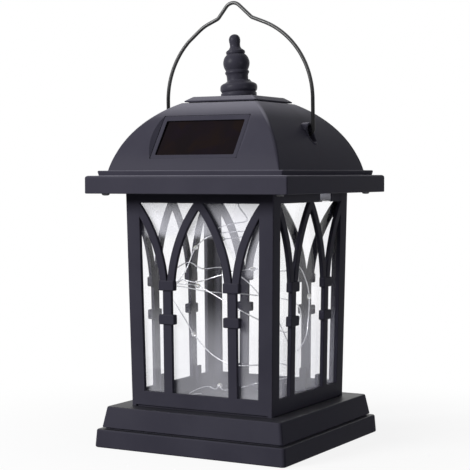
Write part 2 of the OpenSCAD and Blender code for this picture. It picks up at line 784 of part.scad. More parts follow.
// A stem with a thin ring, a ball, a collar, a slim neck and a rounded tip.
module stem_outline() {
    h = finial_h - foot_h + stem_root;
    ball_z = stem_root + ball_up;
    collar_z = ball_z + ball_r - stem_ring_h / 2;
    square([stem_r, ball_z]);
    translate([0, ball_z - ball_r + stem_ring_h]) square([stem_r + stem_ring, stem_ring_h]);
    intersection() {
        translate([0, ball_z]) circle(ball_r, $fn = 64);
        translate([0, ball_z - ball_r]) square([ball_r, 2 * ball_r]);
    }
    translate([0, collar_z - stem_ring_h]) square([tip_r + 2 * stem_ring_h, stem_ring_h]);
    translate([0, collar_z])
        polygon([[0, 0], [tip_r + 1.5 * stem_ring_h, 0], [neck_r, shoulder_h], [0, shoulder_h]]);
    translate([0, collar_z]) square([neck_r, h - collar_z - tip_r]);
    intersection() {
        translate([0, h - tip_r]) circle(tip_r, $fn = 48);
        translate([0, h - 2 * tip_r]) square([tip_r, 2 * tip_r]);
    }
}

module finial_screw() {
    color("silver") translate([0, 0, dome_top_z - roof_wall]) union() {
        translate([0, 0, -finial_screw_head[1]])
            cylinder(finial_screw_head[1], r = finial_screw_head[0]);
        cylinder(roof_wall + cap_gap + cap_h + finial_screw_l, r = finial_screw_r);
    }
}

module ceiling_plate() {
    half = eave_w / 2 - roof_wall - ceiling_gap;
    rib_out = cage_half(eave_z - locator_h) - glazing_in - locator_gap;
    color([0.14, 0.14, 0.16]) difference() {
        union() {
            block(half, half, eave_z, ceiling_top_z);
            difference() {
                block(rib_out, rib_out, eave_z - locator_h, eave_z + ceiling_t / 2);
                block(rib_out - locator_t, rib_out - locator_t, eave_z - locator_h - past,
                    ceiling_top_z);
                block(rib_out - locator_l, eave_w, eave_z - locator_h - past, ceiling_top_z);
                block(eave_w, rib_out - locator_l, eave_z - locator_h - past, ceiling_top_z);
            }
            translate([lug_x, bay_y, ceiling_top_z - past])
                cylinder(cover_boss[1] + past, r = cover_boss[0]);
            at_board_posts(ceiling_top_z - past) cylinder(standoff_h + past, r = standoff_r);
        }
        ring_of_four(screw_at) translate([0, 0, eave_z - past])
            cylinder(ceiling_t + 2 * past, r = screw_r + screw_clearance);
        translate([0, bay_y, 0]) block(bay_x, bay_half_w, eave_z - past, ceiling_top_z + past);
        translate([-bay_x - cover_margin - cover_gap, bay_y - bay_half_w - cover_margin - cover_gap,
            eave_z - past])
            cube([bay_l + 2 * cover_margin + lug_l + 2 * cover_gap,
                2 * (bay_half_w + cover_margin + cover_gap), cover_t + past]);
        translate([lug_x, bay_y, eave_z]) cylinder(cover_boss[1], r = cover_screw_r);
        translate([-switch_x, -switch_y, 0]) translate([-knob[0] / 2 - switch_gap,
            -knob[1] / 2 - switch_gap, eave_z - past])
            cube([knob[0] + switch_travel + 2 * switch_gap, knob[1] + 2 * switch_gap,
                ceiling_t + 2 * past]);
        translate([0, 0, eave_z - past]) cylinder(ceiling_t + 2 * past, r = grommet_hole_r);
        at_board_posts(ceiling_top_z) cylinder(standoff_h + past, r = board_screw_r);
    }
}

module ceiling_screws() {
    color("silver") ring_of_four(screw_at) union() {
        translate([0, 0, eave_z - screw_head_h]) cylinder(screw_head_h, r = screw_head_r);
        translate([0, 0, eave_z]) cylinder(screw_l, r = screw_r);
    }
}

// ---------- solar window ----------

module solar_bezel() {
    open_w = bezel_w - 2 * bezel_side;
    open_l = bezel_l - 2 * bezel_end;
    color([0.12, 0.12, 0.14]) at_window() difference() {
        translate([-bezel_w / 2, -bezel_l / 2, -bezel_t]) cube([bezel_w, bezel_l, bezel_t]);
        translate([-open_w / 2, -open_l / 2, -bezel_t - past])
            cube([open_w, open_l, bezel_t + 2 * past]);
        translate([-module_w / 2 - window_gap, -module_l / 2 - window_gap, -bezel_t - past])
            cube([module_w + 2 * window_gap, module_l + 2 * window_gap, module_t + past]);
    }
}

module solar_layer(z0, t) {
    at_window() translate([-module_w / 2, -module_l / 2, z0]) cube([module_w, module_l, t]);
}

module solar_resin() color([0.25, 0.18, 0.17, 0.5]) solar_layer(-lip_t - resin_t, resin_t);

module solar_silicon() {
    pitch = module_w / strips;
    color([0.06, 0.03, 0.04]) at_window() for (i = [0:strips - 1])
        translate([-module_w / 2 + i * pitch + strip_gap / 2, -module_l / 2 + strip_gap / 2,
            -lip_t - resin_t - silicon_t])
            cube([pitch - strip_gap, module_l - strip_gap, silicon_t]);
}

module solar_backing() {
    color([0.2, 0.3, 0.22]) solar_layer(-bezel_t, module_t - resin_t - silicon_t);
}

// ---------- bail ----------

// A piece of bent wire about a centre in the bail's plane, from angle a0 to angle a1.
// Its ends stop a hair short: a short sleeve, a hair thicker than the wire, joins the pieces.
module wire_arc(centre, r, a0, a1) {
    trim = joint_trim / r * 180 / PI;
    translate([centre[0], 0, centre[1]]) rotate([90, 0, 0]) rotate([0, 0, a0 + trim])
        rotate_extrude(angle = a1 - a0 - 2 * trim) translate([r, 0]) circle(wire_r, $fn = 32);
}

module wire_joint(centre, r, a) {
    translate([centre[0] + r * cos(a), 0, centre[1] + r * sin(a)]) rotate([0, -a, 0])
        cylinder(joint_l, r = wire_r + joint_over, center = true, $fn = 32);
}

function heading(a, b) = atan2(b[1] - a[1], b[0] - a[0]);

// One side of the bump: its straight leg leaves the bump's arc at the given slope, and a bend
// that touches both the leg and the arch ends it.
arch_c = [0, bail_z];
function leg_out(side, slope) = [side * sin(slope), cos(slope)];
function leg_down(side, slope) = [side * cos(slope), -sin(slope)];
function leg_top(side, slope) = bump + bump_r * leg_out(side, slope);
function leg_l(side, slope) =
    let (near = bail_x + bump_bend_r, d = leg_down(side, slope),
        q = leg_top(side, slope) + bump_bend_r * leg_out(side, slope) - arch_c, along = q * d)
    -along - sqrt(along * along - q * q + near * near);
function leg_end(side, slope) = leg_top(side, slope) + leg_l(side, slope) * leg_down(side, slope);
function bend_centre(side, slope) = leg_end(side, slope) + bump_bend_r * leg_out(side, slope);

// The straight leg and the sleeves at its ends.
module bump_leg(side, slope) {
    from = leg_top(side, slope) + joint_trim * leg_down(side, slope);
    translate([from[0], 0, from[1]]) rotate([0, side * (90 + slope), 0])
        cylinder(leg_l(side, slope) - 2 * joint_trim, r = wire_r, $fn = 32);
    for (at = [leg_top(side, slope), leg_end(side, slope)])
        translate([at[0], 0, at[1]]) rotate([0, side * (90 + slope), 0])
            cylinder(joint_l, r = wire_r + joint_over, center = true, $fn = 32);
}

module bail_handle() {
    right = bend_centre(1, bump_right_a);
    left = bend_centre(-1, bump_left_a);
    foot_z = pivot_z + bend_r;
    color([0.25, 0.25, 0.26]) union() {
        for (s = [-1, 1]) {
            translate([s * bail_x, 0, foot_z + joint_trim])
                cylinder(bail_leg - bend_r - 2 * joint_trim, r = wire_r, $fn = 32);
            translate([s * (bail_x - bend_r - joint_trim), 0, pivot_z]) rotate([0, -s * 90, 0])
                cylinder(pin_l, r = wire_r, $fn = 32);
            wire_joint([s * (bail_x - bend_r), foot_z], bend_r, -90);
            wire_joint([s * bail_x, foot_z], 0, 0);
            wire_joint([s * bail_x, bail_z], 0, 0);
        }
        wire_arc([bail_x - bend_r, foot_z], bend_r, -90, 0);
        wire_arc([-bail_x + bend_r, foot_z], bend_r, 180, 270);
        wire_arc(arch_c, bail_x, 0, heading(arch_c, right));
        wire_arc(arch_c, bail_x, heading(arch_c, left), 180);
        wire_arc(right, bump_bend_r, -90 - bump_right_a, heading(right, arch_c));
        wire_arc(left, bump_bend_r, heading(left, arch_c), bump_left_a - 90);
        wire_arc(bump, bump_r, 90 - bump_right_a, 90 + bump_left_a);
        bump_leg(1, bump_right_a);
        bump_leg(-1, bump_left_a);
        for (f = [left, right]) wire_joint(arch_c, bail_x, heading(arch_c, f));
    }
}

// ---------- battery bay ----------

module battery_holder() {
    color([0.15, 0.15, 0.16]) translate([0, bay_y, 0]) difference() {
        block(bay_x + holder_wall, bay_half_w + holder_wall, ceiling_top_z, bay_top_z + holder_wall);
        block(bay_x, bay_half_w, ceiling_top_z - past, bay_top_z);
        translate([0, 0, cell_z]) rotate([0, 90, 0])
            cylinder(2 * (bay_x + holder_wall + past), r = lead_hole_r, center = true);
    }
}

module battery_cell() {
    color([0.2, 0.5, 0.35]) translate([bay_x - contact_t - cell_l, bay_y, cell_z])
        rotate([0, 90, 0]) union() {
            cylinder(cell_l - nub[1], r = cell_r);
            cylinder(cell_l, r = nub[0]);
        }
}

module contact_plates() {
    color("gold") for (x = [-bay_x, bay_x - contact_t])
        translate([x, bay_y - contact_w / 2, cell_z - contact_w / 2])
            cube([contact_t, contact_w, contact_w]);
}

// A cone of wire that narrows from the contact plate to the cell.
module contact_spring() {
    turns = 2.5;
    rings = 40;
    wide = contact_w / 2 - spring_wire;
    narrow = wide / 2;
    length = spring_l - contact_t - 2 * spring_wire;
    color("silver") translate([-bay_x + contact_t + spring_wire, bay_y, cell_z])
        tube([for (i = [0:rings]) let (a = i / rings * turns * 360,
            r = wide + (narrow - wide) * i / rings)
            [length * i / rings, r * cos(a), r * sin(a)]], spring_wire, 1);
}

module battery_cover() {
    color([0.14, 0.14, 0.16]) difference() {
        translate([-bay_x - cover_margin, bay_y - bay_half_w - cover_margin, eave_z])
            cube([bay_l + 2 * cover_margin + lug_l, 2 * (bay_half_w + cover_margin), cover_t]);
        translate([lug_x, bay_y, eave_z - past])
            cylinder(cover_t + 2 * past, r = cover_screw_r + screw_clearance);
    }
}

module battery_cover_screw() {
    color("silver") translate([lug_x, bay_y, eave_z]) union() {
        translate([0, 0, -cover_screw_head[1]])
            cylinder(cover_screw_head[1], r = cover_screw_head[0]);
        cylinder(cover_boss[1] - past, r = cover_screw_r);
    }
}

// ---------- switch, board and leads ----------

module switch_housing() {
    color([0.75, 0.76, 0.78]) translate([-switch_x, -switch_y, 0]) difference() {
        translate([-switch_l / 2 + switch_travel / 2, -switch_w / 2, ceiling_top_z])
            cube([switch_l, switch_w, switch_h]);
        translate([-knob_foot[0] / 2 - switch_gap, -knob_foot[1] / 2 - switch_gap, ceiling_top_z - past])
            cube([knob_foot[0] + switch_travel + 2 * switch_gap, knob_foot[1] + 2 * switch_gap,
                knob_foot[2] + 2 * switch_gap + past]);
    }
}

module switch_slider() {
    color([0.9, 0.9, 0.88]) translate([-switch_x, -switch_y, 0]) union() {
        translate([-knob_foot[0] / 2, -knob_foot[1] / 2, ceiling_top_z + switch_gap]) cube(knob_foot);
        translate([-knob[0] / 2, -knob[1] / 2, eave_z - knob_drop])
            cube([knob[0], knob[1], ceiling_t + knob_drop + switch_gap + knob_foot[2] / 2]);
    }
}

module at_board_posts(z) {
    for (s = [-1, 1]) translate([board_x + s * board_post_x, -board_y, z]) children();
}

module circuit_board() {
    color([0.1, 0.35, 0.2]) difference() {
        translate([board_x - board_l / 2, -board_y - board_w / 2, board_z])
            cube([board_l, board_w, board_t]);
        at_board_posts(board_z - past) cylinder(board_t + 2 * past, r = board_screw_r + screw_clearance);
    }
}

module board_screws() {
    color("silver") at_board_posts(board_top_z) union() {
        cylinder(board_screw_head[1], r = board_screw_head[0]);
        translate([0, 0, -standoff_h]) cylinder(standoff_h, r = board_screw_r);
    }
}

// Stands on its row of legs, a little way above the board.
module controller_chip() {
    color([0.05, 0.05, 0.05]) translate([board_x - chip[0], chip[1] - board_y, board_top_z]) union() {
        translate([-chip[0] / 2, -chip[1] / 2, chip_leg[2]]) cube(chip);
        for (i = [0:chip_legs - 1])
            translate([(i + 0.5) * chip[0] / chip_legs - chip[0] / 2, 0, 0])
                block(chip_leg[0] / 2, chip_leg[1] / 2, 0, chip_leg[2] + chip[2] / 4);
    }
}

// Lies along the board between two bent wire legs.
module inductor() {
    half = inductor_l / 2;
    color([0.3, 0.55, 0.35]) translate([board_x, -board_y, board_top_z])
        translate(inductor_at) union() {
        translate([-half, 0, inductor_r]) rotate([0, 90, 0]) cylinder(inductor_l, r = inductor_r);
        for (s = [-1, 1]) translate([s * half - inductor_leg / 2, -inductor_leg / 2, 0]) union() {
            translate([s * inductor_reach, 0, 0])
                cube([inductor_leg, inductor_leg, inductor_r + inductor_leg / 2]);
            translate([min(0, s * inductor_reach), 0, inductor_r - inductor_leg / 2])
                cube([inductor_reach + inductor_leg, inductor_leg, inductor_leg]);
        }
    }
}

module lead_pair(route, spread) {
    for (s = [0, 1]) translate(s * spread) tube(route, lead_r, 3);
}

module panel_leads() color([0.6, 0.1, 0.1]) lead_pair(panel_route, [lead_pitch, 0, 0]);
module switch_leads() color([0.7, 0.7, 0.72]) lead_pair(switch_route, [0, -lead_pitch, 0]);
module battery_leads() color([0.1, 0.1, 0.1]) {
    tube(battery_route, lead_r, 3);
    tube(battery_route_2, lead_r, 3);
}

// ---------- light string ----------

module string_grommet() {
    color([0.05, 0.05, 0.05]) translate([0, 0, eave_z]) difference() {
        union() {
            translate([0, 0, -grommet_flange]) cylinder(grommet_flange, r = grommet_r);
            cylinder(ceiling_t, r = grommet_hole_r - 0.05);
            translate([0, 0, ceiling_t]) cylinder(grommet_flange, r = grommet_r - 0.6);
        }
        translate([0, 0, -grommet_flange - past])
            cylinder(ceiling_t + 2 * grommet_flange + 2 * past, r = string_hole_r);
    }
}

module string_lead() color("silver") tube(string_lead_route, string_r, 3);

module light_string() color("silver") tube(light_route, string_r, 1);

module led_beads() {
    color([0.95, 0.95, 0.85, 0.6]) for (i = led_points) translate(light_route[i]) sphere(bead_r, $fn = 24);
}

base_shell();
front_panel();
right_panel();
back_panel();
left_panel();
front_pane();
right_pane();
back_pane();
left_pane();
roof_shell();
ceiling_plate();
ceiling_screws();
cap_plate();
finial();
finial_screw();
solar_bezel();
solar_resin();
solar_silicon();
solar_backing();
bail_handle();
battery_holder();
battery_cell();
contact_spring();
contact_plates();
battery_cover();
battery_cover_screw();
switch_housing();
switch_slider();
circuit_board();
board_screws();
controller_chip();
inductor();
panel_leads();
battery_leads();
switch_leads();
string_grommet();
string_lead();
light_string();
led_beads();
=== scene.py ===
"""Solar garden lantern: the visual model, built over its CAD frame in millimetres."""

import logging
import math
from collections.abc import Iterable, Sequence
from dataclasses import dataclass, replace
from enum import Enum
from functools import cache

import bmesh
import bpy
from mathutils import Matrix, Vector


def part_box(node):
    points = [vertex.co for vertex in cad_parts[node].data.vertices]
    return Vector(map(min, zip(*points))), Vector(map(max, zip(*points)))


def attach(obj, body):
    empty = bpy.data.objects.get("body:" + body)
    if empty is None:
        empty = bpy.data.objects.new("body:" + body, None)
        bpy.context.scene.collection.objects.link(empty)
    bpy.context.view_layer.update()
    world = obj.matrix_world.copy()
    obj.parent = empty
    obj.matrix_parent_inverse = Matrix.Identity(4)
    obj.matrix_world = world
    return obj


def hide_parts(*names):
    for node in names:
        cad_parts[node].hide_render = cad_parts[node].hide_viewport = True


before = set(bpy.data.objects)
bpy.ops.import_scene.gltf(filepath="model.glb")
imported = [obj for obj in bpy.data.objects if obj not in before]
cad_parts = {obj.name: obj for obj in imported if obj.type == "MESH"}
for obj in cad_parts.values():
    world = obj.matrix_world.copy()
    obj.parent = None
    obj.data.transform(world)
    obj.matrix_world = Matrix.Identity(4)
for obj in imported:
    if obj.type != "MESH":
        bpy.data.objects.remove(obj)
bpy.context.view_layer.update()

LOG = logging.getLogger("lantern")
MM = 0.001
# How far a cutting tool passes the face that it cuts, in millimetres.
OVERSHOOT = 1.0
# The most of an edge that one rounded corner may use up.
CORNER_SHARE = 0.48
# The radius that a sharp corner keeps, so that every ring keeps its points.
LEAST_RADIUS = 0.03
# The angle in degrees up to which a moulded piece is shaded smooth.
SMOOTH_ANGLE = 32.0
# The edge wear's gain at full strength.
WEAR_GAIN = 4
WHITE = (1.0, 1.0, 1.0, 1.0)

Pair = tuple[float, float]
Triple = tuple[float, float, float]
Colour = tuple[float, float, float]
Point2 = tuple[float, float]
Point = tuple[float, float, float]
Ring = list[Point]


class Side(Enum):
    """The four faces of the lantern, as quarter turns from the front."""

    FRONT = 0
    RIGHT = 1
    BACK = 2
    LEFT = 3


class Cut(Enum):
    """How one solid acts on another."""

    ADD = "UNION"
    REMOVE = "DIFFERENCE"
    KEEP_COMMON = "INTERSECT"


# ---------------------------------------------------------------- shapes


def rounded(
    points: Sequence[Point2], radii: Sequence[float], steps: int, closed: bool = False
) -> list[Point2]:
    """Round the corners of an outline.

    Args:
        points: Corners of the outline in order.
        radii: Radius at each corner; zero leaves it sharp.
        steps: Number of chords in each rounded corner.
        closed: Whether the last corner joins the first.

    Returns:
        The outline with its corners replaced by arcs.
    """
    out: list[Point2] = []
    count = len(points)
    for i, (point, radius) in enumerate(zip(points, radii)):
        corner = Vector(point)
        if radius <= 0 or (not closed and i in (0, count - 1)):
            out.append((corner.x, corner.y))
            continue
        before = Vector(points[i - 1]) - corner
        after = Vector(points[(i + 1) % count]) - corner
        half_angle = before.angle(after) / 2
        room = CORNER_SHARE * min(before.length, after.length)
        run = min(radius / math.tan(half_angle), room)
        radius = run * math.tan(half_angle)
        before.normalize()
        after.normalize()
        centre = corner + (before + after).normalized() * radius / math.sin(half_angle)
        first = corner + before * run - centre
        last = corner + after * run - centre
        start = math.atan2(first.y, first.x)
        turn = (math.atan2(last.y, last.x) - start + math.pi) % math.tau - math.pi
        for k in range(steps + 1):
            angle = start + turn * k / steps
            out.append((centre.x + radius * math.cos(angle), centre.y + radius * math.sin(angle)))
    return out


def rect_ring(half_x: float, half_y: float, z: float, radius: float, steps: int = 5) -> Ring:
    """Points round a rectangle with rounded corners, at one height.

    Args:
        half_x: Half of its size along X.
        half_y: Half of its size along Y.
        z: Its height.
        radius: Radius of its corners.
        steps: Number of chords in each corner.

    Returns:
        The points in order round it.
    """
    radius = max(LEAST_RADIUS, min(radius, half_x, half_y))
    ring: Ring = []
    for quarter, (sx, sy) in enumerate(((1, 1), (-1, 1), (-1, -1), (1, -1))):
        for k in range(steps + 1):
            angle = math.pi / 2 * (quarter + k / steps)
            ring.append((
                sx * (half_x - radius) + radius * math.cos(angle),
                sy * (half_y - radius) + radius * math.sin(angle),
                z,
            ))
    return ring


def arc(centre: Point2, radius: float, first: float, last: float, steps: int) -> list[Point2]:
    """Points of an arc between two angles in degrees.

    Args:
        centre: The arc's centre.
        radius: Its radius.
        first: Angle of its first point.
        last: Angle of its last point.
        steps: Number of chords.

    Returns:
        The points from the first angle to the last.
    """
    out = []
    for k in range(steps + 1):
        angle = math.radians(first + (last - first) * k / steps)
        out.append((centre[0] + radius * math.cos(angle), centre[1] + radius * math.sin(angle)))
    return out


@dataclass
class Solid:
    """A closed surface in millimetres."""

    points: list[Point]
    faces: list[tuple[int, ...]]

    @classmethod
    def loft(cls, rings: Sequence[Ring], loop: bool = False) -> "Solid":
        """Skin a row of rings that have the same number of points.

        Args:
            rings: The rings in order.
            loop: Whether the last ring joins the first; if not, both ends are capped.

        Returns:
            The closed surface.
        """
        count = len(rings[0])
        faces: list[tuple[int, ...]] = []
        for i in range(len(rings) if loop else len(rings) - 1):
            low, high = i * count, (i + 1) % len(rings) * count
            for j in range(count):
                k = (j + 1) % count
                faces.append((low + j, low + k, high + k, high + j))
        if not loop:
            top = (len(rings) - 1) * count
            faces.append(tuple(range(count - 1, -1, -1)))
            faces.append(tuple(range(top, top + count)))
        return cls([p for ring in rings for p in ring], faces)

    @classmethod
    def lathe(cls, profile: Sequence[Point2], sides: int = 64) -> "Solid":
        """Turn a profile about the upright axis.

        Args:
            profile: Points of (radius, height) in order.
            sides: Number of flats round it.

        Returns:
            The closed surface.
        """
        rings = []
        for radius, z in profile:
            rings.append([
                (radius * math.cos(math.tau * k / sides), radius * math.sin(math.tau * k / sides), z)
                for k in range(sides)
            ])
        return cls.loft(rings)

    @classmethod
    def block(cls, low: Point, high: Point, soft: float = 0.0, steps: int = 3) -> "Solid":
        """A box between two corners.

        Args:
            low: Its lowest corner.
            high: Its highest corner.
            soft: Radius of its edges; zero leaves them sharp.
            steps: Number of chords in each rounded edge.

        Returns:
            The closed surface.
        """
        half = [(b - a) / 2 for a, b in zip(low, high)]
        if soft <= 0:
            rings = [rect_ring(half[0], half[1], s * half[2], LEAST_RADIUS, 1) for s in (-1, 1)]
        else:
            rings = []
            for end in (-1, 1):
                for k in range(steps + 1):
                    angle = math.pi / 2 * (k / steps if end > 0 else 1 - k / steps)
                    inset = soft * (1 - math.cos(angle))
                    z = end * (half[2] - soft * (1 - math.sin(angle)))
                    rings.append(
                        rect_ring(half[0] - inset, half[1] - inset, z, soft - inset, steps)
                    )
        middle = Vector([(a + b) / 2 for a, b in zip(low, high)])
        return cls.loft(rings).moved(Matrix.Translation(middle))

    @classmethod
    def tube(cls, path: Sequence[Vector], radius: float, sides: int) -> "Solid":
        """A round wire along a path in the upright XZ plane, with softened ends.

        Args:
            path: Points along its middle.
            radius: The wire's radius.
            sides: Number of flats round it.

        Returns:
            The closed surface.
        """
        rings = []
        last = len(path) - 1
        for i, point in enumerate(path):
            along = (path[min(i + 1, last)] - path[max(i - 1, 0)]).normalized()
            across = along.cross(Vector((0, 1, 0)))
            ring = []
            for k in range(sides):
                angle = math.tau * k / sides
                out = across * math.cos(angle) + Vector((0, 1, 0)) * math.sin(angle)
                ring.append(tuple(point + out * radius))
            rings.append(ring)
        bulge, shrink = 0.25, 0.75
        for end, step in ((0, -1), (last, 1)):
            centre = path[end]
            along = (centre - path[end - step]).normalized()
            soft = [
                tuple(centre + along * radius * bulge + (Vector(p) - centre) * shrink)
                for p in rings[0 if step < 0 else -1]
            ]
            rings.insert(0, soft) if step < 0 else rings.append(soft)
        return cls.loft(rings)

    def moved(self, matrix: Matrix) -> "Solid":
        """The same surface carried by a matrix."""
        return Solid([tuple(matrix @ Vector(p)) for p in self.points], self.faces)

    def turned(self, side: Side) -> "Solid":
        """The same surface turned from the front to another side."""
        return self.moved(Matrix.Rotation(math.pi / 2 * side.value, 4, "Z"))


def mesh_object(name: str, solid: Solid) -> bpy.types.Object:
    """Make a mesh object, in metres, with its faces turned outward.

    Args:
        name: The object's name.
        solid: Its surface in millimetres.

    Returns:
        The object, linked to the scene.
    """
    mesh = bpy.data.meshes.new(name)
    mesh.from_pydata([tuple(c * MM for c in p) for p in solid.points], [], solid.faces)
    work = bmesh.new()
    work.from_mesh(mesh)
    bmesh.ops.recalc_face_normals(work, faces=work.faces)
    work.to_mesh(mesh)
    work.free()
    made = bpy.data.objects.new(name, mesh)
    bpy.context.scene.collection.objects.link(made)
    return made


def carve(target: bpy.types.Object, tools: Iterable[Solid | bpy.types.Object], how: Cut) -> None:
    """Add solids to a mesh, or cut it with them.

    Args:
        target: The mesh object that changes.
        tools: The solids or helper objects that act on it, one after another; they are used up.
        how: What they do to it.
    """
    helpers = [mesh_object("tool", t) if isinstance(t, Solid) else t for t in tools]
    for helper in helpers:
        step = target.modifiers.new("carve", "BOOLEAN")
        step.operation, step.object, step.solver = how.value, helper, "MANIFOLD"
    graph = bpy.context.evaluated_depsgraph_get()
    result = bpy.data.meshes.new_from_object(target.evaluated_get(graph))
    target.modifiers.clear()
    old = target.data
    target.data = result
    result.name = target.name
    bpy.data.meshes.remove(old)
    for helper in helpers:
        shape = helper.data
        bpy.data.objects.remove(helper)
        bpy.data.meshes.remove(shape)


def join_solids(name: str, solids: Sequence[Solid]) -> bpy.types.Object:
    """Fuse solids into the one skin of a mesh object.

    Args:
        name: The object's name.
        solids: Two solids or more, each of which overlaps another.

    Returns:
        The object.
    """
    made = mesh_object(name, solids[0])
    carve(made, solids[1:], Cut.ADD)
    return made


def loose_solids(solids: Sequence[Solid]) -> Solid:
    """Keep several solids that don't touch as one surface.

    Args:
        solids: The solids.

    Returns:
        The surface of them all.
    """
    points: list[Point] = []
    faces: list[tuple[int, ...]] = []
    for solid in solids:
        start = len(points)
        points += solid.points
        faces += [tuple(start + i for i in face) for face in solid.faces]
    return Solid(points, faces)


def smooth(obj: bpy.types.Object, angle: float) -> None:
    """Shade a mesh smooth up to an angle, and keep its flat faces flat.

    Args:
        obj: The mesh object.
        angle: The angle in degrees.
    """
    obj.data.shade_smooth()
    obj.data.set_sharp_from_angle(angle=math.radians(angle))
    weigh = obj.modifiers.new("flat_faces_stay_flat", "WEIGHTED_NORMAL")
    weigh.keep_sharp = True
    weigh.weight = 80


def mm_box(node: str) -> tuple[Vector, Vector]:
    """The box of a CAD node in millimetres."""
    low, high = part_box(node)
    return low / MM, high / MM


# ---------------------------------------------------------------- finishes


class Nodes:
    """Short hand for adding nodes to one tree."""

    def __init__(self, tree: bpy.types.NodeTree) -> None:
        """Keep the tree that the nodes go in."""
        self.tree = tree

    def add(
        self, kind: str, inputs: dict[str | int, object] | None = None, **settings: object
    ) -> bpy.types.Node:
        """Add a node.

        Args:
            kind: The node's type, without the ShaderNode that it starts with.
            inputs: Values, or sockets of other nodes, for its inputs by name or number.
            settings: The node's own properties.

        Returns:
            The new node.
        """
        node = self.tree.nodes.new("ShaderNode" + kind)
        for name, value in settings.items():
            setattr(node, name, value)
        for name, value in (inputs or {}).items():
            if isinstance(value, bpy.types.NodeSocket):
                self.tree.links.new(value, node.inputs[name])
            else:
                node.inputs[name].default_value = value
        return node

    def math(self, operation: str, *values: object, clamp: bool = False) -> bpy.types.NodeSocket:
        """The result of a Math node."""
        node = self.add("Math", dict(enumerate(values)), operation=operation, use_clamp=clamp)
        return node.outputs[0]

    def spread(
        self, value: object, low: float, high: float, to_low: float, to_high: float
    ) -> bpy.types.NodeSocket:
        """Carry a value from one range to another and hold it there.

        Args:
            value: The value's socket.
            low: Where the range that it comes from starts.
            high: Where that range ends.
            to_low: Where the range that it goes to starts.
            to_high: Where that range ends.

        Returns:
            The socket of the new value.
        """
        return self.add(
            "MapRange",
            {"Value": value, "From Min": low, "From Max": high, "To Min": to_low, "To Max": to_high},
            interpolation_type="SMOOTHSTEP",
        ).outputs["Result"]

    def mix(self, factor: object, a: object, b: object) -> bpy.types.NodeSocket:
        """Mix two colours.

        Args:
            factor: Share of the second colour.
            a: The first colour.
            b: The second colour.

        Returns:
            The socket of the mixed colour.
        """
        node = self.add("Mix", data_type="RGBA")
        for socket, value in ((node.inputs[0], factor), (node.inputs[6], a), (node.inputs[7], b)):
            if isinstance(value, bpy.types.NodeSocket):
                self.tree.links.new(value, socket)
            else:
                socket.default_value = value
        return node.outputs[2]

    def group(self, tree: bpy.types.NodeTree, **values: object) -> bpy.types.Node:
        """Add a node group.

        Args:
            tree: The group.
            values: Values, or sockets of other nodes, for its inputs by name.

        Returns:
            The group's node.
        """
        node = self.tree.nodes.new("ShaderNodeGroup")
        node.node_tree = tree
        for name, value in values.items():
            socket = node.inputs[name.replace("_", " ").capitalize()]
            if isinstance(value, bpy.types.NodeSocket):
                self.tree.links.new(value, socket)
            else:
                socket.default_value = value
        return node


def new_group(
    name: str, takes: dict[str, str], gives: dict[str, str]
) -> tuple[Nodes, bpy.types.Node, bpy.types.Node]:
    """Start a shader node group.

    Args:
        name: The group's name.
        takes: Socket kinds of its inputs by name.
        gives: Socket kinds of its outputs by name.

    Returns:
        The node maker, the group's input node and its output node.
    """
    tree = bpy.data.node_groups.new(name, "ShaderNodeTree")
    for way, sockets in (("INPUT", takes), ("OUTPUT", gives)):
        for label, kind in sockets.items():
            tree.interface.new_socket(label, in_out=way, socket_type="NodeSocket" + kind)
    return Nodes(tree), tree.nodes.new("NodeGroupInput"), tree.nodes.new("NodeGroupOutput")


@cache
def grain_effect() -> bpy.types.NodeTree:
    """Fine spark-eroded grain and the broad cloudiness of a moulded skin.

    Returns:
        The node group.
    """
    n, given, made = new_group(
        "moulded_grain",
        {"Vector": "Vector", "Scale": "Float", "Cloud": "Float"},
        {"Height": "Float", "Cloud": "Float", "Speck": "Float"},
    )
    at, link = given.outputs["Vector"], n.tree.links.new
    fine = n.add("TexNoise", {"Vector": at, "Scale": given.outputs["Scale"], "Detail": 3.0, "Roughness": 0.6})
    pits = n.add("TexVoronoi", {"Vector": at, "Scale": n.math("MULTIPLY", given.outputs["Scale"], 0.7)})
    cloud = n.add(
        "TexNoise", {"Vector": at, "Scale": given.outputs["Cloud"], "Detail": 4.0, "Roughness": 0.55}
    )
    deep = n.math("MULTIPLY", pits.outputs["Distance"], 0.5)
    height = n.math("ADD", n.math("MULTIPLY", fine.outputs[0], 0.7), deep)
    link(height, made.inputs["Height"])
    link(n.spread(cloud.outputs[0], 0.32, 0.68, 0.0, 1.0), made.inputs["Cloud"])
    link(n.spread(fine.outputs[0], 0.62, 0.74, 0.0, 1.0), made.inputs["Speck"])
    return n.tree


@cache
def wear_effect() -> bpy.types.NodeTree:
    """A mask along rubbed outer edges, broken up by noise.

    Returns:
        The node group.
    """
    n, given, made = new_group(
        "edge_wear", {"Vector": "Vector", "Radius": "Float", "Gain": "Float"}, {"Mask": "Float"}
    )
    soft = n.add("Bevel", {"Radius": given.outputs["Radius"]}, samples=4)
    plain = n.add("NewGeometry")
    facing = n.add(
        "VectorMath", {0: soft.outputs["Normal"], 1: plain.outputs["Normal"]}, operation="DOT_PRODUCT"
    ).outputs["Value"]
    noise = n.add("TexNoise", {"Vector": given.outputs["Vector"], "Scale": 170.0, "Detail": 3.0})
    edge = n.math("MULTIPLY", n.math("SUBTRACT", 1.0, facing), given.outputs["Gain"], clamp=True)
    patchy = n.spread(noise.outputs[0], 0.35, 0.65, 0.25, 1.0)
    n.tree.links.new(n.math("MULTIPLY", edge, patchy), made.inputs["Mask"])
    return n.tree


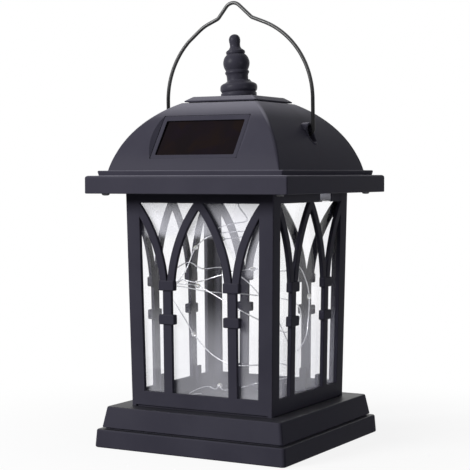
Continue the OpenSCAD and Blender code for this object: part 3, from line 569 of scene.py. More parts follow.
@cache
def dust_and_level_effect() -> bpy.types.NodeTree:
    """Masks of the faces that look up, and of the fine dust on them.

    Returns:
        The node group.
    """
    n, given, made = new_group(
        "dust_and_level_faces", {"Vector": "Vector", "Amount": "Float"}, {"Mask": "Float", "Up": "Float"}
    )
    split = n.add("SeparateXYZ", {0: n.add("NewGeometry").outputs["Normal"]})
    up = n.spread(split.outputs["Z"], 0.35, 0.95, 0.0, 1.0)
    level = n.spread(split.outputs["Z"], 0.7, 0.93, 0.0, 1.0)
    noise = n.add(
        "TexNoise", {"Vector": given.outputs["Vector"], "Scale": 60.0, "Detail": 6.0, "Roughness": 0.7}
    )
    patchy = n.math("MULTIPLY", up, n.spread(noise.outputs[0], 0.3, 0.7, 0.3, 1.0))
    mask = n.math("MULTIPLY", patchy, given.outputs["Amount"])
    n.tree.links.new(mask, made.inputs["Mask"])
    # The level faces' mask, which also carries the painted light and shade of the moulded finishes.
    n.tree.links.new(level, made.inputs["Up"])
    return n.tree


@cache
def brushed_effect() -> bpy.types.NodeTree:
    """Drawn or plated metal: faint streaks in brightness, roughness and height.

    Returns:
        The node group.
    """
    n, given, made = new_group(
        "drawn_metal", {"Vector": "Vector", "Scale": "Float"}, {"Streak": "Float", "Height": "Float"}
    )
    stretch = n.add("Mapping", {"Vector": given.outputs["Vector"], "Scale": (1.0, 1.0, 0.12)})
    streak = n.add("TexNoise", {"Vector": stretch.outputs[0], "Scale": given.outputs["Scale"], "Detail": 4.0})
    spots = n.add("TexNoise", {"Vector": given.outputs["Vector"], "Scale": 500.0, "Detail": 2.0})
    n.tree.links.new(n.spread(streak.outputs[0], 0.3, 0.7, 0.0, 1.0), made.inputs["Streak"])
    height = n.math("ADD", streak.outputs[0], n.math("MULTIPLY", spots.outputs[0], 0.4))
    n.tree.links.new(height, made.inputs["Height"])
    return n.tree


def start_material(
    name: str,
) -> tuple[bpy.types.Material, Nodes, bpy.types.Node, bpy.types.Node, bpy.types.NodeSocket]:
    """Start a material.

    Args:
        name: Its name.

    Returns:
        The material, its node maker, its shader, its output and its object coordinates.
    """
    made = bpy.data.materials.new(name)
    made.use_nodes = True
    made.node_tree.nodes.clear()
    n = Nodes(made.node_tree)
    out = n.add("OutputMaterial")
    shader = n.add("BsdfPrincipled")
    made.node_tree.links.new(shader.outputs[0], out.inputs[0])
    return made, n, shader, out, n.add("TexCoord").outputs["Object"]


@dataclass(frozen=True)
class MouldedFinish:
    """Moulded plastic or rubber: grain, cloudiness, rubbed edges and dust.

    Args:
        name: The material's name.
        colour: Its plain colour.
        cloud: The colour that it clouds to.
        edge: The colour of rubbed edges.
        roughness: Roughness at the smoothest places.
        grain: Grain cells in a metre.
        depth: Height of the grain in millimetres.
        wear: Strength of the edge wear.
        dust: Strength of the dust.
        specular: Specular level.
        coat: Weight of a thin clear skin.
        painted_top_shading: Share of painted light and shade on the faces that look up, a colour that stands
            in for how the light falls on them.
        painted_top_colour: The colour of that painted light and shade.
        level_gloss: Added specular level of the faces that look up.
        clouds: Clouds in a metre.
        worn: Radius of the rubbed edges in metres.
        specks: Share of the edge colour in the specks of the grain.
        dust_colour: The dust's colour.
        dusty: Share of the dust's colour where it lies.
        roughened: Added roughness of the clouds and of the dust.
        relief: Strength of the grain in the shading.
        coat_roughness: Roughness of the clear skin.
    """

    name: str
    colour: Colour
    cloud: Colour
    edge: Colour
    roughness: float = 0.42
    grain: float = 2600.0
    depth: float = 0.006
    wear: float = 0.5
    dust: float = 0.25
    specular: float = 0.4
    coat: float = 0.0
    # Painted light and shade: the faces that look up get a colour of their own, which stands in for how the
    # light falls on them.
    painted_top_shading: float = 0.0
    painted_top_colour: Colour = (0.42, 0.41, 0.47)
    level_gloss: float = 0.0
    clouds: float = 28.0
    worn: float = 0.0006
    specks: float = 0.25
    dust_colour: Colour = (0.42, 0.41, 0.42)
    dusty: float = 0.12
    roughened: Pair = (0.08, 0.25)
    relief: float = 0.8
    coat_roughness: float = 0.12

    def material(self) -> bpy.types.Material:
        """Build the material.

        Returns:
            The material.
        """
        made, n, shader, _, at = start_material(self.name)
        grain = n.group(grain_effect(), vector=at, scale=self.grain, cloud=self.clouds)
        wear = n.group(wear_effect(), vector=at, radius=self.worn, gain=self.wear * WEAR_GAIN)
        dust = n.group(dust_and_level_effect(), vector=at, amount=self.dust)
        colour = n.mix(grain.outputs["Cloud"], (*self.colour, 1), (*self.cloud, 1))
        colour = n.mix(n.math("MULTIPLY", grain.outputs["Speck"], self.specks), colour, (*self.edge, 1))
        colour = n.mix(wear.outputs["Mask"], colour, (*self.edge, 1))
        dusty = n.math("MULTIPLY", dust.outputs["Mask"], self.dusty)
        colour = n.mix(dusty, colour, (*self.dust_colour, 1))
        # Painted light and shade on the faces that look up, mixed over the plain colour.
        if self.painted_top_shading:
            painted_top_shading = n.math("MULTIPLY", dust.outputs["Up"], self.painted_top_shading)
            colour = n.mix(painted_top_shading, colour, (*self.painted_top_colour, 1))
        made.node_tree.links.new(colour, shader.inputs["Base Color"])
        by_cloud, by_dust = self.roughened
        rough = n.math("ADD", self.roughness, n.math("MULTIPLY", grain.outputs["Cloud"], by_cloud))
        rough = n.math("ADD", rough, n.math("MULTIPLY", dust.outputs["Mask"], by_dust), clamp=True)
        made.node_tree.links.new(rough, shader.inputs["Roughness"])
        height = grain.outputs["Height"]
        bump = n.add("Bump", {"Height": height, "Distance": self.depth * MM, "Strength": self.relief})
        made.node_tree.links.new(bump.outputs[0], shader.inputs["Normal"])
        shader.inputs["Specular IOR Level"].default_value = self.specular
        if self.level_gloss:
            gloss = n.math("MULTIPLY_ADD", dust.outputs["Up"], self.level_gloss, self.specular)
            made.node_tree.links.new(gloss, shader.inputs["Specular IOR Level"])
        shader.inputs["Coat Weight"].default_value = self.coat
        shader.inputs["Coat Roughness"].default_value = self.coat_roughness
        return made


@dataclass(frozen=True)
class MetalFinish:
    """Plated, drawn or lacquered metal with faint streaks.

    Args:
        name: The material's name.
        colour: Its colour.
        dull: The colour of its duller streaks.
        roughness: Roughness of the bright streaks.
        metallic: Share of bare metal.
        scale: Streaks in a metre.
        specular: Specular level.
        dull_below: Heights in metres between which the sheen grows from a sixth to its full level.
        worn: Radius of the rubbed edges in metres.
        wear: Strength of the edge wear.
        polished: Share of the bright colour on rubbed edges.
        roughened: Added roughness of the duller streaks.
        depth: Height of the streaks in millimetres.
        relief: Strength of the streaks in the shading.
    """

    name: str
    colour: Colour
    dull: Colour
    roughness: float = 0.25
    metallic: float = 1.0
    scale: float = 900.0
    specular: float = 0.5
    dull_below: Pair | None = None
    worn: float = 0.0003
    wear: float = 1.2
    polished: float = 0.5
    roughened: float = 0.12
    depth: float = 0.003
    relief: float = 0.6

    def material(self) -> bpy.types.Material:
        """Build the material.

        Returns:
            The material.
        """
        made, n, shader, _, at = start_material(self.name)
        drawn = n.group(brushed_effect(), vector=at, scale=self.scale)
        wear = n.group(wear_effect(), vector=at, radius=self.worn, gain=self.wear)
        colour = n.mix(drawn.outputs["Streak"], (*self.colour, 1), (*self.dull, 1))
        polished = n.math("MULTIPLY", wear.outputs["Mask"], self.polished)
        colour = n.mix(polished, colour, (*self.colour, 1))
        made.node_tree.links.new(colour, shader.inputs["Base Color"])
        duller = n.math("MULTIPLY", drawn.outputs["Streak"], self.roughened)
        rough = n.math("ADD", self.roughness, duller)
        made.node_tree.links.new(rough, shader.inputs["Roughness"])
        height = drawn.outputs["Height"]
        bump = n.add("Bump", {"Height": height, "Distance": self.depth * MM, "Strength": self.relief})
        made.node_tree.links.new(bump.outputs[0], shader.inputs["Normal"])
        shader.inputs["Metallic"].default_value = self.metallic
        shader.inputs["Specular IOR Level"].default_value = self.specular
        if self.dull_below:
            up = n.add("SeparateXYZ", {0: at}).outputs["Z"]
            sheen = n.spread(up, *self.dull_below, self.specular / 6, self.specular)
            made.node_tree.links.new(sheen, shader.inputs["Specular IOR Level"])
        return made


@dataclass(frozen=True)
class ClearFinish:
    """Clear moulded plastic or resin that lets shadow rays through.

    Args:
        name: The material's name.
        tint: Colour that it gives the light that crosses it.
        roughness: Roughness of its skin.
        haze: Added roughness where it is wiped or scuffed.
        ior: Index of refraction.
        clear: Share of the light that isn't scattered at each skin.
        painted_reflection: Strength of the painted reflection, a pale veil near the top and near the bottom.
        painted_reflection_edge: Height of the top veil's lower edge in metres, and how far it drops on the
            right.
        painted_reflection_through: Share of the veil's light that comes through it from behind.
        painted_reflection_colour: The veil's colour.
        painted_reflection_slope: Places across, in metres, between which the top veil's edge drops.
        painted_reflection_soft: How far its edge fades below and above its height, in metres.
        painted_reflection_low: Heights in metres between which the bottom veil fades in, going down.
        painted_reflection_uneven: The least and the most that its clouds make of the veil.
        grain: Grain cells in a metre.
        clouds: Clouds in a metre.
        dust: Strength of the dust.
        dust_haze: Added roughness of the dust.
        deepened: Share of the tint in the deeper clouds.
        depth: Height of the clouds in millimetres.
        relief: Strength of the clouds in the shading.
    """

    name: str
    tint: Colour
    roughness: float = 0.02
    haze: float = 0.03
    ior: float = 1.45
    clear: float = 1.0
    # Painted reflection: a pale veil laid over the pane near its top and its bottom, in place of the bright
    # reflections that the pane shows there.
    painted_reflection: Pair = (0.0, 0.0)
    painted_reflection_edge: Pair = (0.15, 0.0)
    painted_reflection_through: float = 0.0
    painted_reflection_colour: Colour = (0.92, 0.92, 1.0)
    painted_reflection_slope: Pair = (0.010, 0.034)
    painted_reflection_soft: Pair = (0.002, 0.003)
    painted_reflection_low: Pair = (0.095, 0.065)
    painted_reflection_uneven: Pair = (0.8, 1.2)
    grain: float = 900.0
    clouds: float = 16.0
    dust: float = 0.3
    dust_haze: float = 0.1
    deepened: float = 0.985
    depth: float = 0.02
    relief: float = 0.5

    def material(self) -> bpy.types.Material:
        """Build the material.

        Returns:
            The material.
        """
        made, n, shader, out, at = start_material(self.name)
        grain = n.group(grain_effect(), vector=at, scale=self.grain, cloud=self.clouds)
        dust = n.group(dust_and_level_effect(), vector=at, amount=self.dust)
        deeper = tuple(self.deepened * c for c in self.tint)
        colour = n.mix(grain.outputs["Cloud"], (*self.tint, 1), (*deeper, 1))
        made.node_tree.links.new(colour, shader.inputs["Base Color"])
        rough = n.math("ADD", self.roughness, n.math("MULTIPLY", grain.outputs["Cloud"], self.haze))
        rough = n.math("ADD", rough, n.math("MULTIPLY", dust.outputs["Mask"], self.dust_haze))
        made.node_tree.links.new(rough, shader.inputs["Roughness"])
        height = grain.outputs["Cloud"]
        bump = n.add("Bump", {"Height": height, "Distance": self.depth * MM, "Strength": self.relief})
        made.node_tree.links.new(bump.outputs[0], shader.inputs["Normal"])
        shader.inputs["Transmission Weight"].default_value = self.clear
        shader.inputs["IOR"].default_value = self.ior
        through = n.add("BsdfTransparent", {"Color": (*self.tint, 1)})
        rays = n.add("LightPath")
        pick = n.add("MixShader", {
            0: n.math("MAXIMUM", rays.outputs["Is Shadow Ray"], rays.outputs["Is Diffuse Ray"]),
            1: shader.outputs[0],
            2: through.outputs[0],
        })
        made.node_tree.links.new(pick.outputs[0], out.inputs[0])
        # The painted reflection: a pale diffuse and translucent veil mixed over the pane where its mask lies.
        if any(self.painted_reflection):
            painted_reflection = self.painted_reflection_mask(n, at, grain.outputs["Cloud"])
            front = n.add("BsdfDiffuse", {"Color": (*self.painted_reflection_colour, 1)})
            behind = n.add("BsdfTranslucent", {"Color": (*self.painted_reflection_colour, 1)})
            pale = n.add("MixShader", {0: self.painted_reflection_through, 1: front.outputs[0], 2: behind.outputs[0]})
            with_painted_reflection = n.add("MixShader", {0: painted_reflection, 1: pick.outputs[0], 2: pale.outputs[0]})
            n.tree.links.new(with_painted_reflection.outputs[0], out.inputs[0])
        return made

    def painted_reflection_mask(
        self, n: Nodes, at: bpy.types.NodeSocket, cloud: bpy.types.NodeSocket
    ) -> bpy.types.NodeSocket:
        """Where the painted reflection lies, and how strong it is.

        Args:
            n: The material's node maker.
            at: Its object coordinates.
            cloud: Its cloudiness.

        Returns:
            The socket of the painted reflection's strength.
        """
        split = n.add("SeparateXYZ", {0: at})
        edge, drop = self.painted_reflection_edge
        below, above = self.painted_reflection_soft
        lower_by = n.spread(split.outputs["X"], *self.painted_reflection_slope, 0.0, drop)
        lowered = n.math("ADD", split.outputs["Z"], lower_by)
        high = n.spread(lowered, edge - below, edge + above, 0.0, self.painted_reflection[0])
        low = n.spread(split.outputs["Z"], *self.painted_reflection_low, 0.0, self.painted_reflection[1])
        cloudy = n.spread(cloud, 0.0, 1.0, *self.painted_reflection_uneven)
        return n.math("MULTIPLY", n.math("ADD", high, low), cloudy, clamp=True)


@dataclass(frozen=True)
class CellFinish:
    """Dark thin-film silicon under resin: plum and brown patches, never a flat colour.

    Args:
        name: The material's name.
        colour: The main colour.
        plum: The purple patches.
        brown: The brown patches.
        roughness: Roughness of the film.
        specular: Specular level.
        grain: Grain cells in a metre.
        clouds: Clouds in a metre.
        patches: Brown patches in a metre.
        roughened: Added roughness of the clouds.
        depth: Height of the grain in millimetres.
        relief: Strength of the grain in the shading.
    """

    name: str
    colour: Colour
    plum: Colour
    brown: Colour
    roughness: float = 0.35
    specular: float = 0.2
    grain: float = 1800.0
    clouds: float = 45.0
    patches: float = 70.0
    roughened: float = 0.06
    depth: float = 0.004
    relief: float = 0.5

    def material(self) -> bpy.types.Material:
        """Build the material.

        Returns:
            The material.
        """
        made, n, shader, _, at = start_material(self.name)
        grain = n.group(grain_effect(), vector=at, scale=self.grain, cloud=self.clouds)
        patch = n.add("TexNoise", {"Vector": at, "Scale": self.patches, "Detail": 3.0, "Distortion": 0.6})
        colour = n.mix(grain.outputs["Cloud"], (*self.colour, 1), (*self.plum, 1))
        colour = n.mix(n.spread(patch.outputs[0], 0.45, 0.7, 0.0, 1.0), colour, (*self.brown, 1))
        made.node_tree.links.new(colour, shader.inputs["Base Color"])
        rougher = n.math("MULTIPLY", grain.outputs["Cloud"], self.roughened)
        rough = n.math("ADD", self.roughness, rougher)
        made.node_tree.links.new(rough, shader.inputs["Roughness"])
        height = grain.outputs["Height"]
        bump = n.add("Bump", {"Height": height, "Distance": self.depth * MM, "Strength": self.relief})
        made.node_tree.links.new(bump.outputs[0], shader.inputs["Normal"])
        shader.inputs["Specular IOR Level"].default_value = self.specular
        return made


BLACK_PLASTIC = MouldedFinish(
    "satin_black_plastic", (0.036, 0.0345, 0.048), (0.042, 0.0405, 0.055), (0.080, 0.077, 0.098),
    roughness=0.34, specular=0.014,
)
# The base's deck and ledges are painted near black on the faces that look up: painted shade of the eave and
# the cage above them.
BASE_PLASTIC = replace(
    BLACK_PLASTIC, name="base_black_plastic",
    painted_top_shading=0.75, painted_top_colour=(0.008, 0.008, 0.010), level_gloss=0.22,
)
# The roof is painted a touch lighter than the black plastic, and paler still on the faces that look up:
# painted light from above.
ROOF_PLASTIC = replace(
    BLACK_PLASTIC, name="roof_black_plastic",
    colour=(0.044, 0.042, 0.058), cloud=(0.050, 0.048, 0.065), painted_top_shading=0.46,
)
TURNED_PLASTIC = replace(BLACK_PLASTIC, name="finial_black_plastic", specular=0.06)
PLATE_PLASTIC = MouldedFinish(
    "ceiling_plastic", (0.045, 0.044, 0.050), (0.055, 0.054, 0.060), (0.09, 0.09, 0.10), roughness=0.5
)
KNOB_PLASTIC = MouldedFinish(
    "knob_plastic", (0.72, 0.72, 0.70), (0.78, 0.78, 0.76), (0.85, 0.85, 0.83), roughness=0.4
)
CHIP_PLASTIC = MouldedFinish(
    "chip_moulding", (0.025, 0.025, 0.026), (0.035, 0.035, 0.036), (0.06, 0.06, 0.06)
)
BOARD_MASK = MouldedFinish(
    "solder_mask", (0.03, 0.19, 0.08), (0.04, 0.24, 0.11), (0.10, 0.34, 0.18), roughness=0.3, coat=0.4
)
INDUCTOR_DIP = MouldedFinish(
    "inductor_dip", (0.20, 0.45, 0.27), (0.25, 0.52, 0.32), (0.40, 0.62, 0.45), roughness=0.25, coat=0.5
)
CELL_WRAP = MouldedFinish(
    "cell_shrink_wrap", (0.07, 0.30, 0.16), (0.10, 0.36, 0.20), (0.25, 0.50, 0.35), roughness=0.25, coat=0.5
)
RED_LEAD = MouldedFinish(
    "red_lead", (0.45, 0.03, 0.03), (0.55, 0.05, 0.05), (0.6, 0.15, 0.15), roughness=0.45
)
BLACK_LEAD = MouldedFinish("black_lead", (0.025, 0.025, 0.025), (0.035, 0.035, 0.035), (0.08, 0.08, 0.08))
GREY_LEAD = MouldedFinish(
    "grey_lead", (0.42, 0.42, 0.44), (0.50, 0.50, 0.52), (0.6, 0.6, 0.62), roughness=0.45
)
GROMMET_RUBBER = MouldedFinish(
    "grommet_rubber", (0.022, 0.022, 0.024), (0.03, 0.03, 0.032), (0.06, 0.06, 0.065),
    roughness=0.65, specular=0.3,
)
WINDOW_RESIN = CellFinish(
    "potting_resin", (0.011, 0.0085, 0.0095), (0.012, 0.0085, 0.012), (0.014, 0.0095, 0.009),
    roughness=0.45, specular=0.0,
)
SILICON = CellFinish("thin_film_silicon", (0.03, 0.018, 0.022), (0.04, 0.02, 0.035), (0.05, 0.03, 0.02))
BAIL_LACQUER = MetalFinish(
    "lacquered_wire", (0.018, 0.018, 0.019), (0.012, 0.012, 0.013), roughness=0.26, metallic=0.0, scale=700.0,
    specular=0.5, dull_below=(0.216, 0.236),
)
SCREW_STEEL = MetalFinish("zinc_screw", (0.42, 0.42, 0.43), (0.26, 0.26, 0.27), roughness=0.3)
BLACK_SCREW = MetalFinish("blackened_screw", (0.075, 0.075, 0.08), (0.045, 0.045, 0.05), roughness=0.35)
CONTACT_METAL = MetalFinish("nickel_contact", (0.72, 0.71, 0.67), (0.55, 0.54, 0.50), roughness=0.2)
STRING_WIRE = MetalFinish(
    "bright_drawn_wire", (0.86, 0.86, 0.89), (0.66, 0.66, 0.70), roughness=0.22, scale=2500.0
)
LED_CHIP = MouldedFinish(
    "led_phosphor", (0.84, 0.82, 0.66), (0.87, 0.85, 0.74), (0.9, 0.88, 0.8), roughness=0.35, dust=0.0
)
CLEAR_PANE = ClearFinish("clear_pane", (0.99, 0.99, 1.0), ior=1.2, clear=0.998)
# The front and right panes carry a painted reflection: a pale veil near their tops and bottoms.
FRONT_PANE = replace(CLEAR_PANE, name="front_pane_with_painted_reflection", painted_reflection=(0.25, 0.15), painted_reflection_edge=(0.132, 0.024))
RIGHT_PANE = replace(
    CLEAR_PANE, name="right_pane_with_painted_reflection", painted_reflection=(0.5, 0.16), painted_reflection_edge=(0.154, 0.0), painted_reflection_through=0.8
)
CLEAR_RESIN = ClearFinish("led_resin", (0.97, 0.97, 0.96), roughness=0.04)


def dress(
    obj: bpy.types.Object, material: bpy.types.Material, body: str | None = None,
    replaces: Sequence[str] = (), angle: float = SMOOTH_ANGLE,
) -> bpy.types.Object:
    """Give a piece its material, its body and the CAD nodes that it stands for.

    Args:
        obj: The piece, already in place.
        material: Its material.
        body: The CAD body that it rides on.
        replaces: The CAD nodes that it stands for.
        angle: Angle in degrees up to which it is shaded smooth.

    Returns:
        The piece.
    """
    obj.data.materials.clear()
    obj.data.materials.append(material)
    if obj.type == "MESH":
        smooth(obj, angle)
    if body:
        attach(obj, body)
    if replaces:
        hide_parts(*replaces)
    LOG.info("%s: %s", obj.name, material.name)
    return obj


# ---------------------------------------------------------------- light string


@dataclass
class LightString:
    """Loose turns of bright wire that hang in the lamp chamber, with LEDs dipped in resin.

    The route is the CAD wire's own list of points. Each LED is a small block on the wire, and the
    drop of resin round it is a profile of (radius, height) turned about the wire.
    """

    wire_radius: float = 0.35
    wire_steps: int = 3
    steps: int = 6
    drop_sides: int = 24
    drop_angle: float = 60.0
    chip_low: Point = (-0.55, 0.36, -0.75)
    chip_high: Point = (0.55, 0.95, 0.75)
    chip_soft: float = 0.12
    led_points: tuple[int, ...] = (5, 9, 15, 19, 24, 31, 37, 44, 47, 55)
    route: tuple[Point, ...] = (
        (0, 0, 157.6), (0, 0, 150), (6, 0, 141), (-4, -4, 138.5), (-9, -15, 135), (0, -22, 130),
        (14, -13, 132), (5, -4, 134), (-8, -20, 132), (-19, -22, 124), (-25, -24, 110),
        (-31, -27, 100.5), (-24, -30, 104), (-13, -31, 103), (5, -31, 108), (24, -26, 112),
        (36, -8, 110), (37, 9, 112), (38, 18, 102.5), (38, 22.5, 92), (37, 23.5, 78),
        (37, 19.5, 66), (36, 9, 58), (27, 16, 61), (8, 32, 78), (-9, 30, 98), (-18, 12, 109),
        (-27, 0, 109), (-37, -2, 113), (-38, -20, 107), (-25, -34, 102), (-10, -35, 101),
        (10, -35, 92), (24, -35, 85.5), (36, -26, 78), (37.5, -8, 72), (36, 14, 80), (20, 34, 87),
        (-12, 36, 90), (-35, 22, 92), (-39, -12, 98), (-35, -34, 96), (-26, -38, 91),
        (-18, -38, 81), (-11, -38, 71), (-3, -38, 63), (6, -38, 57), (18, -38, 53.5), (33, -32, 54),
        (37, -10, 52), (32, 14, 42), (14, 30, 36), (-6, 34, 31), (-16, 27, 28), (-22, 18, 27.6),
        (-25, 18, 30.6), (-28, 18, 27.8), (-35, 19, 29), (-37, 6, 28), (-32, -9, 27.6),
        (-20, -14, 30),
    )
    drop: tuple[Point2, ...] = (
        (0.36, -2.1), (0.75, -1.85), (1.08, -1.35), (1.3, -0.6), (1.36, 0.15),
        (1.26, 0.85), (1.0, 1.45), (0.7, 1.85), (0.38, 2.1),
    )

    def centreline(self) -> list[Vector]:
        """Draw a smooth curve through the route.

        Returns:
            Points along the curve, in millimetres.
        """
        points = [Vector(p) for p in self.route]
        last = len(points) - 1
        out = []
        for i in range(last):
            a, b = points[max(i - 1, 0)], points[i]
            c, d = points[i + 1], points[min(i + 2, last)]
            for k in range(self.steps):
                t = k / self.steps
                out.append(
                    0.5 * (2 * b + (c - a) * t + (2 * a - 5 * b + 4 * c - d) * t**2
                           + (3 * b - a - 3 * c + d) * t**3)
                )
        return out + [points[last]]

    def bead_frames(self) -> list[Matrix]:
        """Find where each LED sits, with its long axis along the wire.

        Returns:
            One matrix for each LED.
        """
        frames = []
        last = len(self.route) - 1
        for i in self.led_points:
            along = Vector(self.route[min(i + 1, last)]) - Vector(self.route[i - 1])
            turn = along.to_track_quat("Z", "Y").to_matrix().to_4x4()
            frames.append(Matrix.Translation(Vector(self.route[i])) @ turn)
        return frames

    def build(self) -> None:
        """Make the wire, the resin drops and the LED chips inside them."""
        line = self.centreline()
        curve = bpy.data.curves.new("string_of_lights", "CURVE")
        curve.dimensions, curve.bevel_depth = "3D", self.wire_radius * MM
        curve.bevel_resolution = self.wire_steps
        curve.use_fill_caps = True
        spline = curve.splines.new("POLY")
        spline.points.add(len(line) - 1)
        for spot, point in zip(spline.points, line):
            spot.co = (*(point * MM), 1.0)
        wire = bpy.data.objects.new("string_of_lights", curve)
        bpy.context.scene.collection.objects.link(wire)
        dress(wire, STRING_WIRE.material(), "roof", ("light_string",))
        frames = self.bead_frames()
        drops = [Solid.lathe(self.drop, self.drop_sides).moved(m) for m in frames]
        chip = Solid.block(self.chip_low, self.chip_high, self.chip_soft, 2)
        chips = [chip.moved(m) for m in frames]
        resin = mesh_object("led_drops", loose_solids(drops))
        dress(resin, CLEAR_RESIN.material(), "roof", ("led_beads",), angle=self.drop_angle)
        cores = mesh_object("led_cores", loose_solids(chips))
        dress(cores, LED_CHIP.material(), "roof")


# ---------------------------------------------------------------- base and cage


@dataclass
class Base:
    """The stepped foot: two drafted tiers, a deck with the cage's groove, ribs and pane clips.

    The drafts are how far each tier leans in. The reveal is the shadow gap between the tiers, with
    its height and how deep it lies. The groove is given by its outer and inner half widths and its
    floor. The corner radii are those of the low tier, of the high tier and of the groove. The rib is
    given by its half thickness, its depth and the gap at its ends, the clip by its half width,
    thickness and height, and the slot by its half width, half thickness and depth.
    """

    half: float
    deck: float = 25.3
    low_top: float = 11.5
    drafts: Pair = (0.8, 2.4)
    wall: float = 2.2
    step: float = 2.4
    reveal: Pair = (1.0, 1.6)
    tier_in: float = 0.1
    groove: Triple = (49.85, 44.73, 24.3)
    corner_radii: Triple = (2.2, 2.0, 0.6)
    bay: float = 22.85
    clip_front: float = 44.85
    slot_middle: float = 48.23
    sunk: float = 1.1
    rib: Triple = (0.8, 8.0, 3.0)
    rib_soft: float = 0.3
    clip: Triple = (2.4, 2.0, 17.0)
    clip_soft: float = 0.7
    slot: Triple = (3.7, 1.4, 4.0)

    def skin(self) -> Solid:
        """Make the moulding's skin, from the hollow's ceiling round to the deck.

        Returns:
            The closed surface.
        """
        low_draft, up_draft = self.drafts
        reveal_high, reveal_deep = self.reveal
        low, up = self.half, self.half - low_draft - self.step
        up_top, up_foot = up - up_draft, up - reveal_deep
        ceiling, ledge = self.deck - self.wall, self.low_top - self.wall
        outer, inner, seat = self.groove
        # Half width, height and radius of each corner.
        outline = (
            (up_top - self.wall, ceiling, 0),
            (up - self.wall, ledge, 0.6),
            (low - low_draft - self.wall, ledge, 0.6),
            (low - self.wall, 0.0, 0.3),
            (low, 0.0, 1.6),
            (low - low_draft, self.low_top, 1.0),
            (up_foot, self.low_top, 0.1),
            (up_foot, self.low_top + reveal_high, 0.1),
            (up - self.tier_in, self.low_top + reveal_high, 0.2),
            (up_top, self.deck, 0.9),
            (outer, self.deck, 0.25),
            (outer, seat, 0.1),
            (inner, seat, 0.1),
            (inner, self.deck, 0),
        )
        low_corner, up_corner, groove_corner = self.corner_radii
        low_from, up_from = up + low_draft / 2, outer + 1
        rings = []
        for half, z in rounded([row[:2] for row in outline], [row[2] for row in outline], 4):
            corner = low_corner if half > low_from else up_corner if half > up_from else groove_corner
            rings.append(rect_ring(half, half, z, corner))
        return Solid.loft(rings)

    def build(self) -> None:
        """Make the base."""
        thin, deep, gap = self.rib
        reach, foot = self.half - self.wall - gap, self.deck - self.sunk
        rib = Solid.block(
            (-reach, -thin, self.deck - self.wall - deep), (reach, thin, foot), self.rib_soft, 2
        )
        ribs = [rib.turned(side) for side in (Side.FRONT, Side.RIGHT)]
        clip_half, clip_thick, clip_high = self.clip
        slot_half, slot_thin, slot_deep = self.slot
        clips, slots = [], []
        for side in Side:
            for x in (-self.bay, self.bay):
                clip = Solid.block(
                    (x - clip_half, -self.clip_front, foot),
                    (x + clip_half, clip_thick - self.clip_front, self.deck + clip_high), self.clip_soft,
                )
                slot = Solid.block(
                    (x - slot_half, -self.slot_middle - slot_thin, self.deck - slot_deep),
                    (x + slot_half, slot_thin - self.slot_middle, self.deck + OVERSHOOT),
                )
                clips.append(clip.turned(side))
                slots.append(slot.turned(side))
        made = join_solids("stepped_base", [self.skin(), *ribs])
        carve(made, slots, Cut.REMOVE)
        carve(made, clips, Cut.ADD)
        dress(made, BASE_PLASTIC.material(), "cage", ("base_shell",))


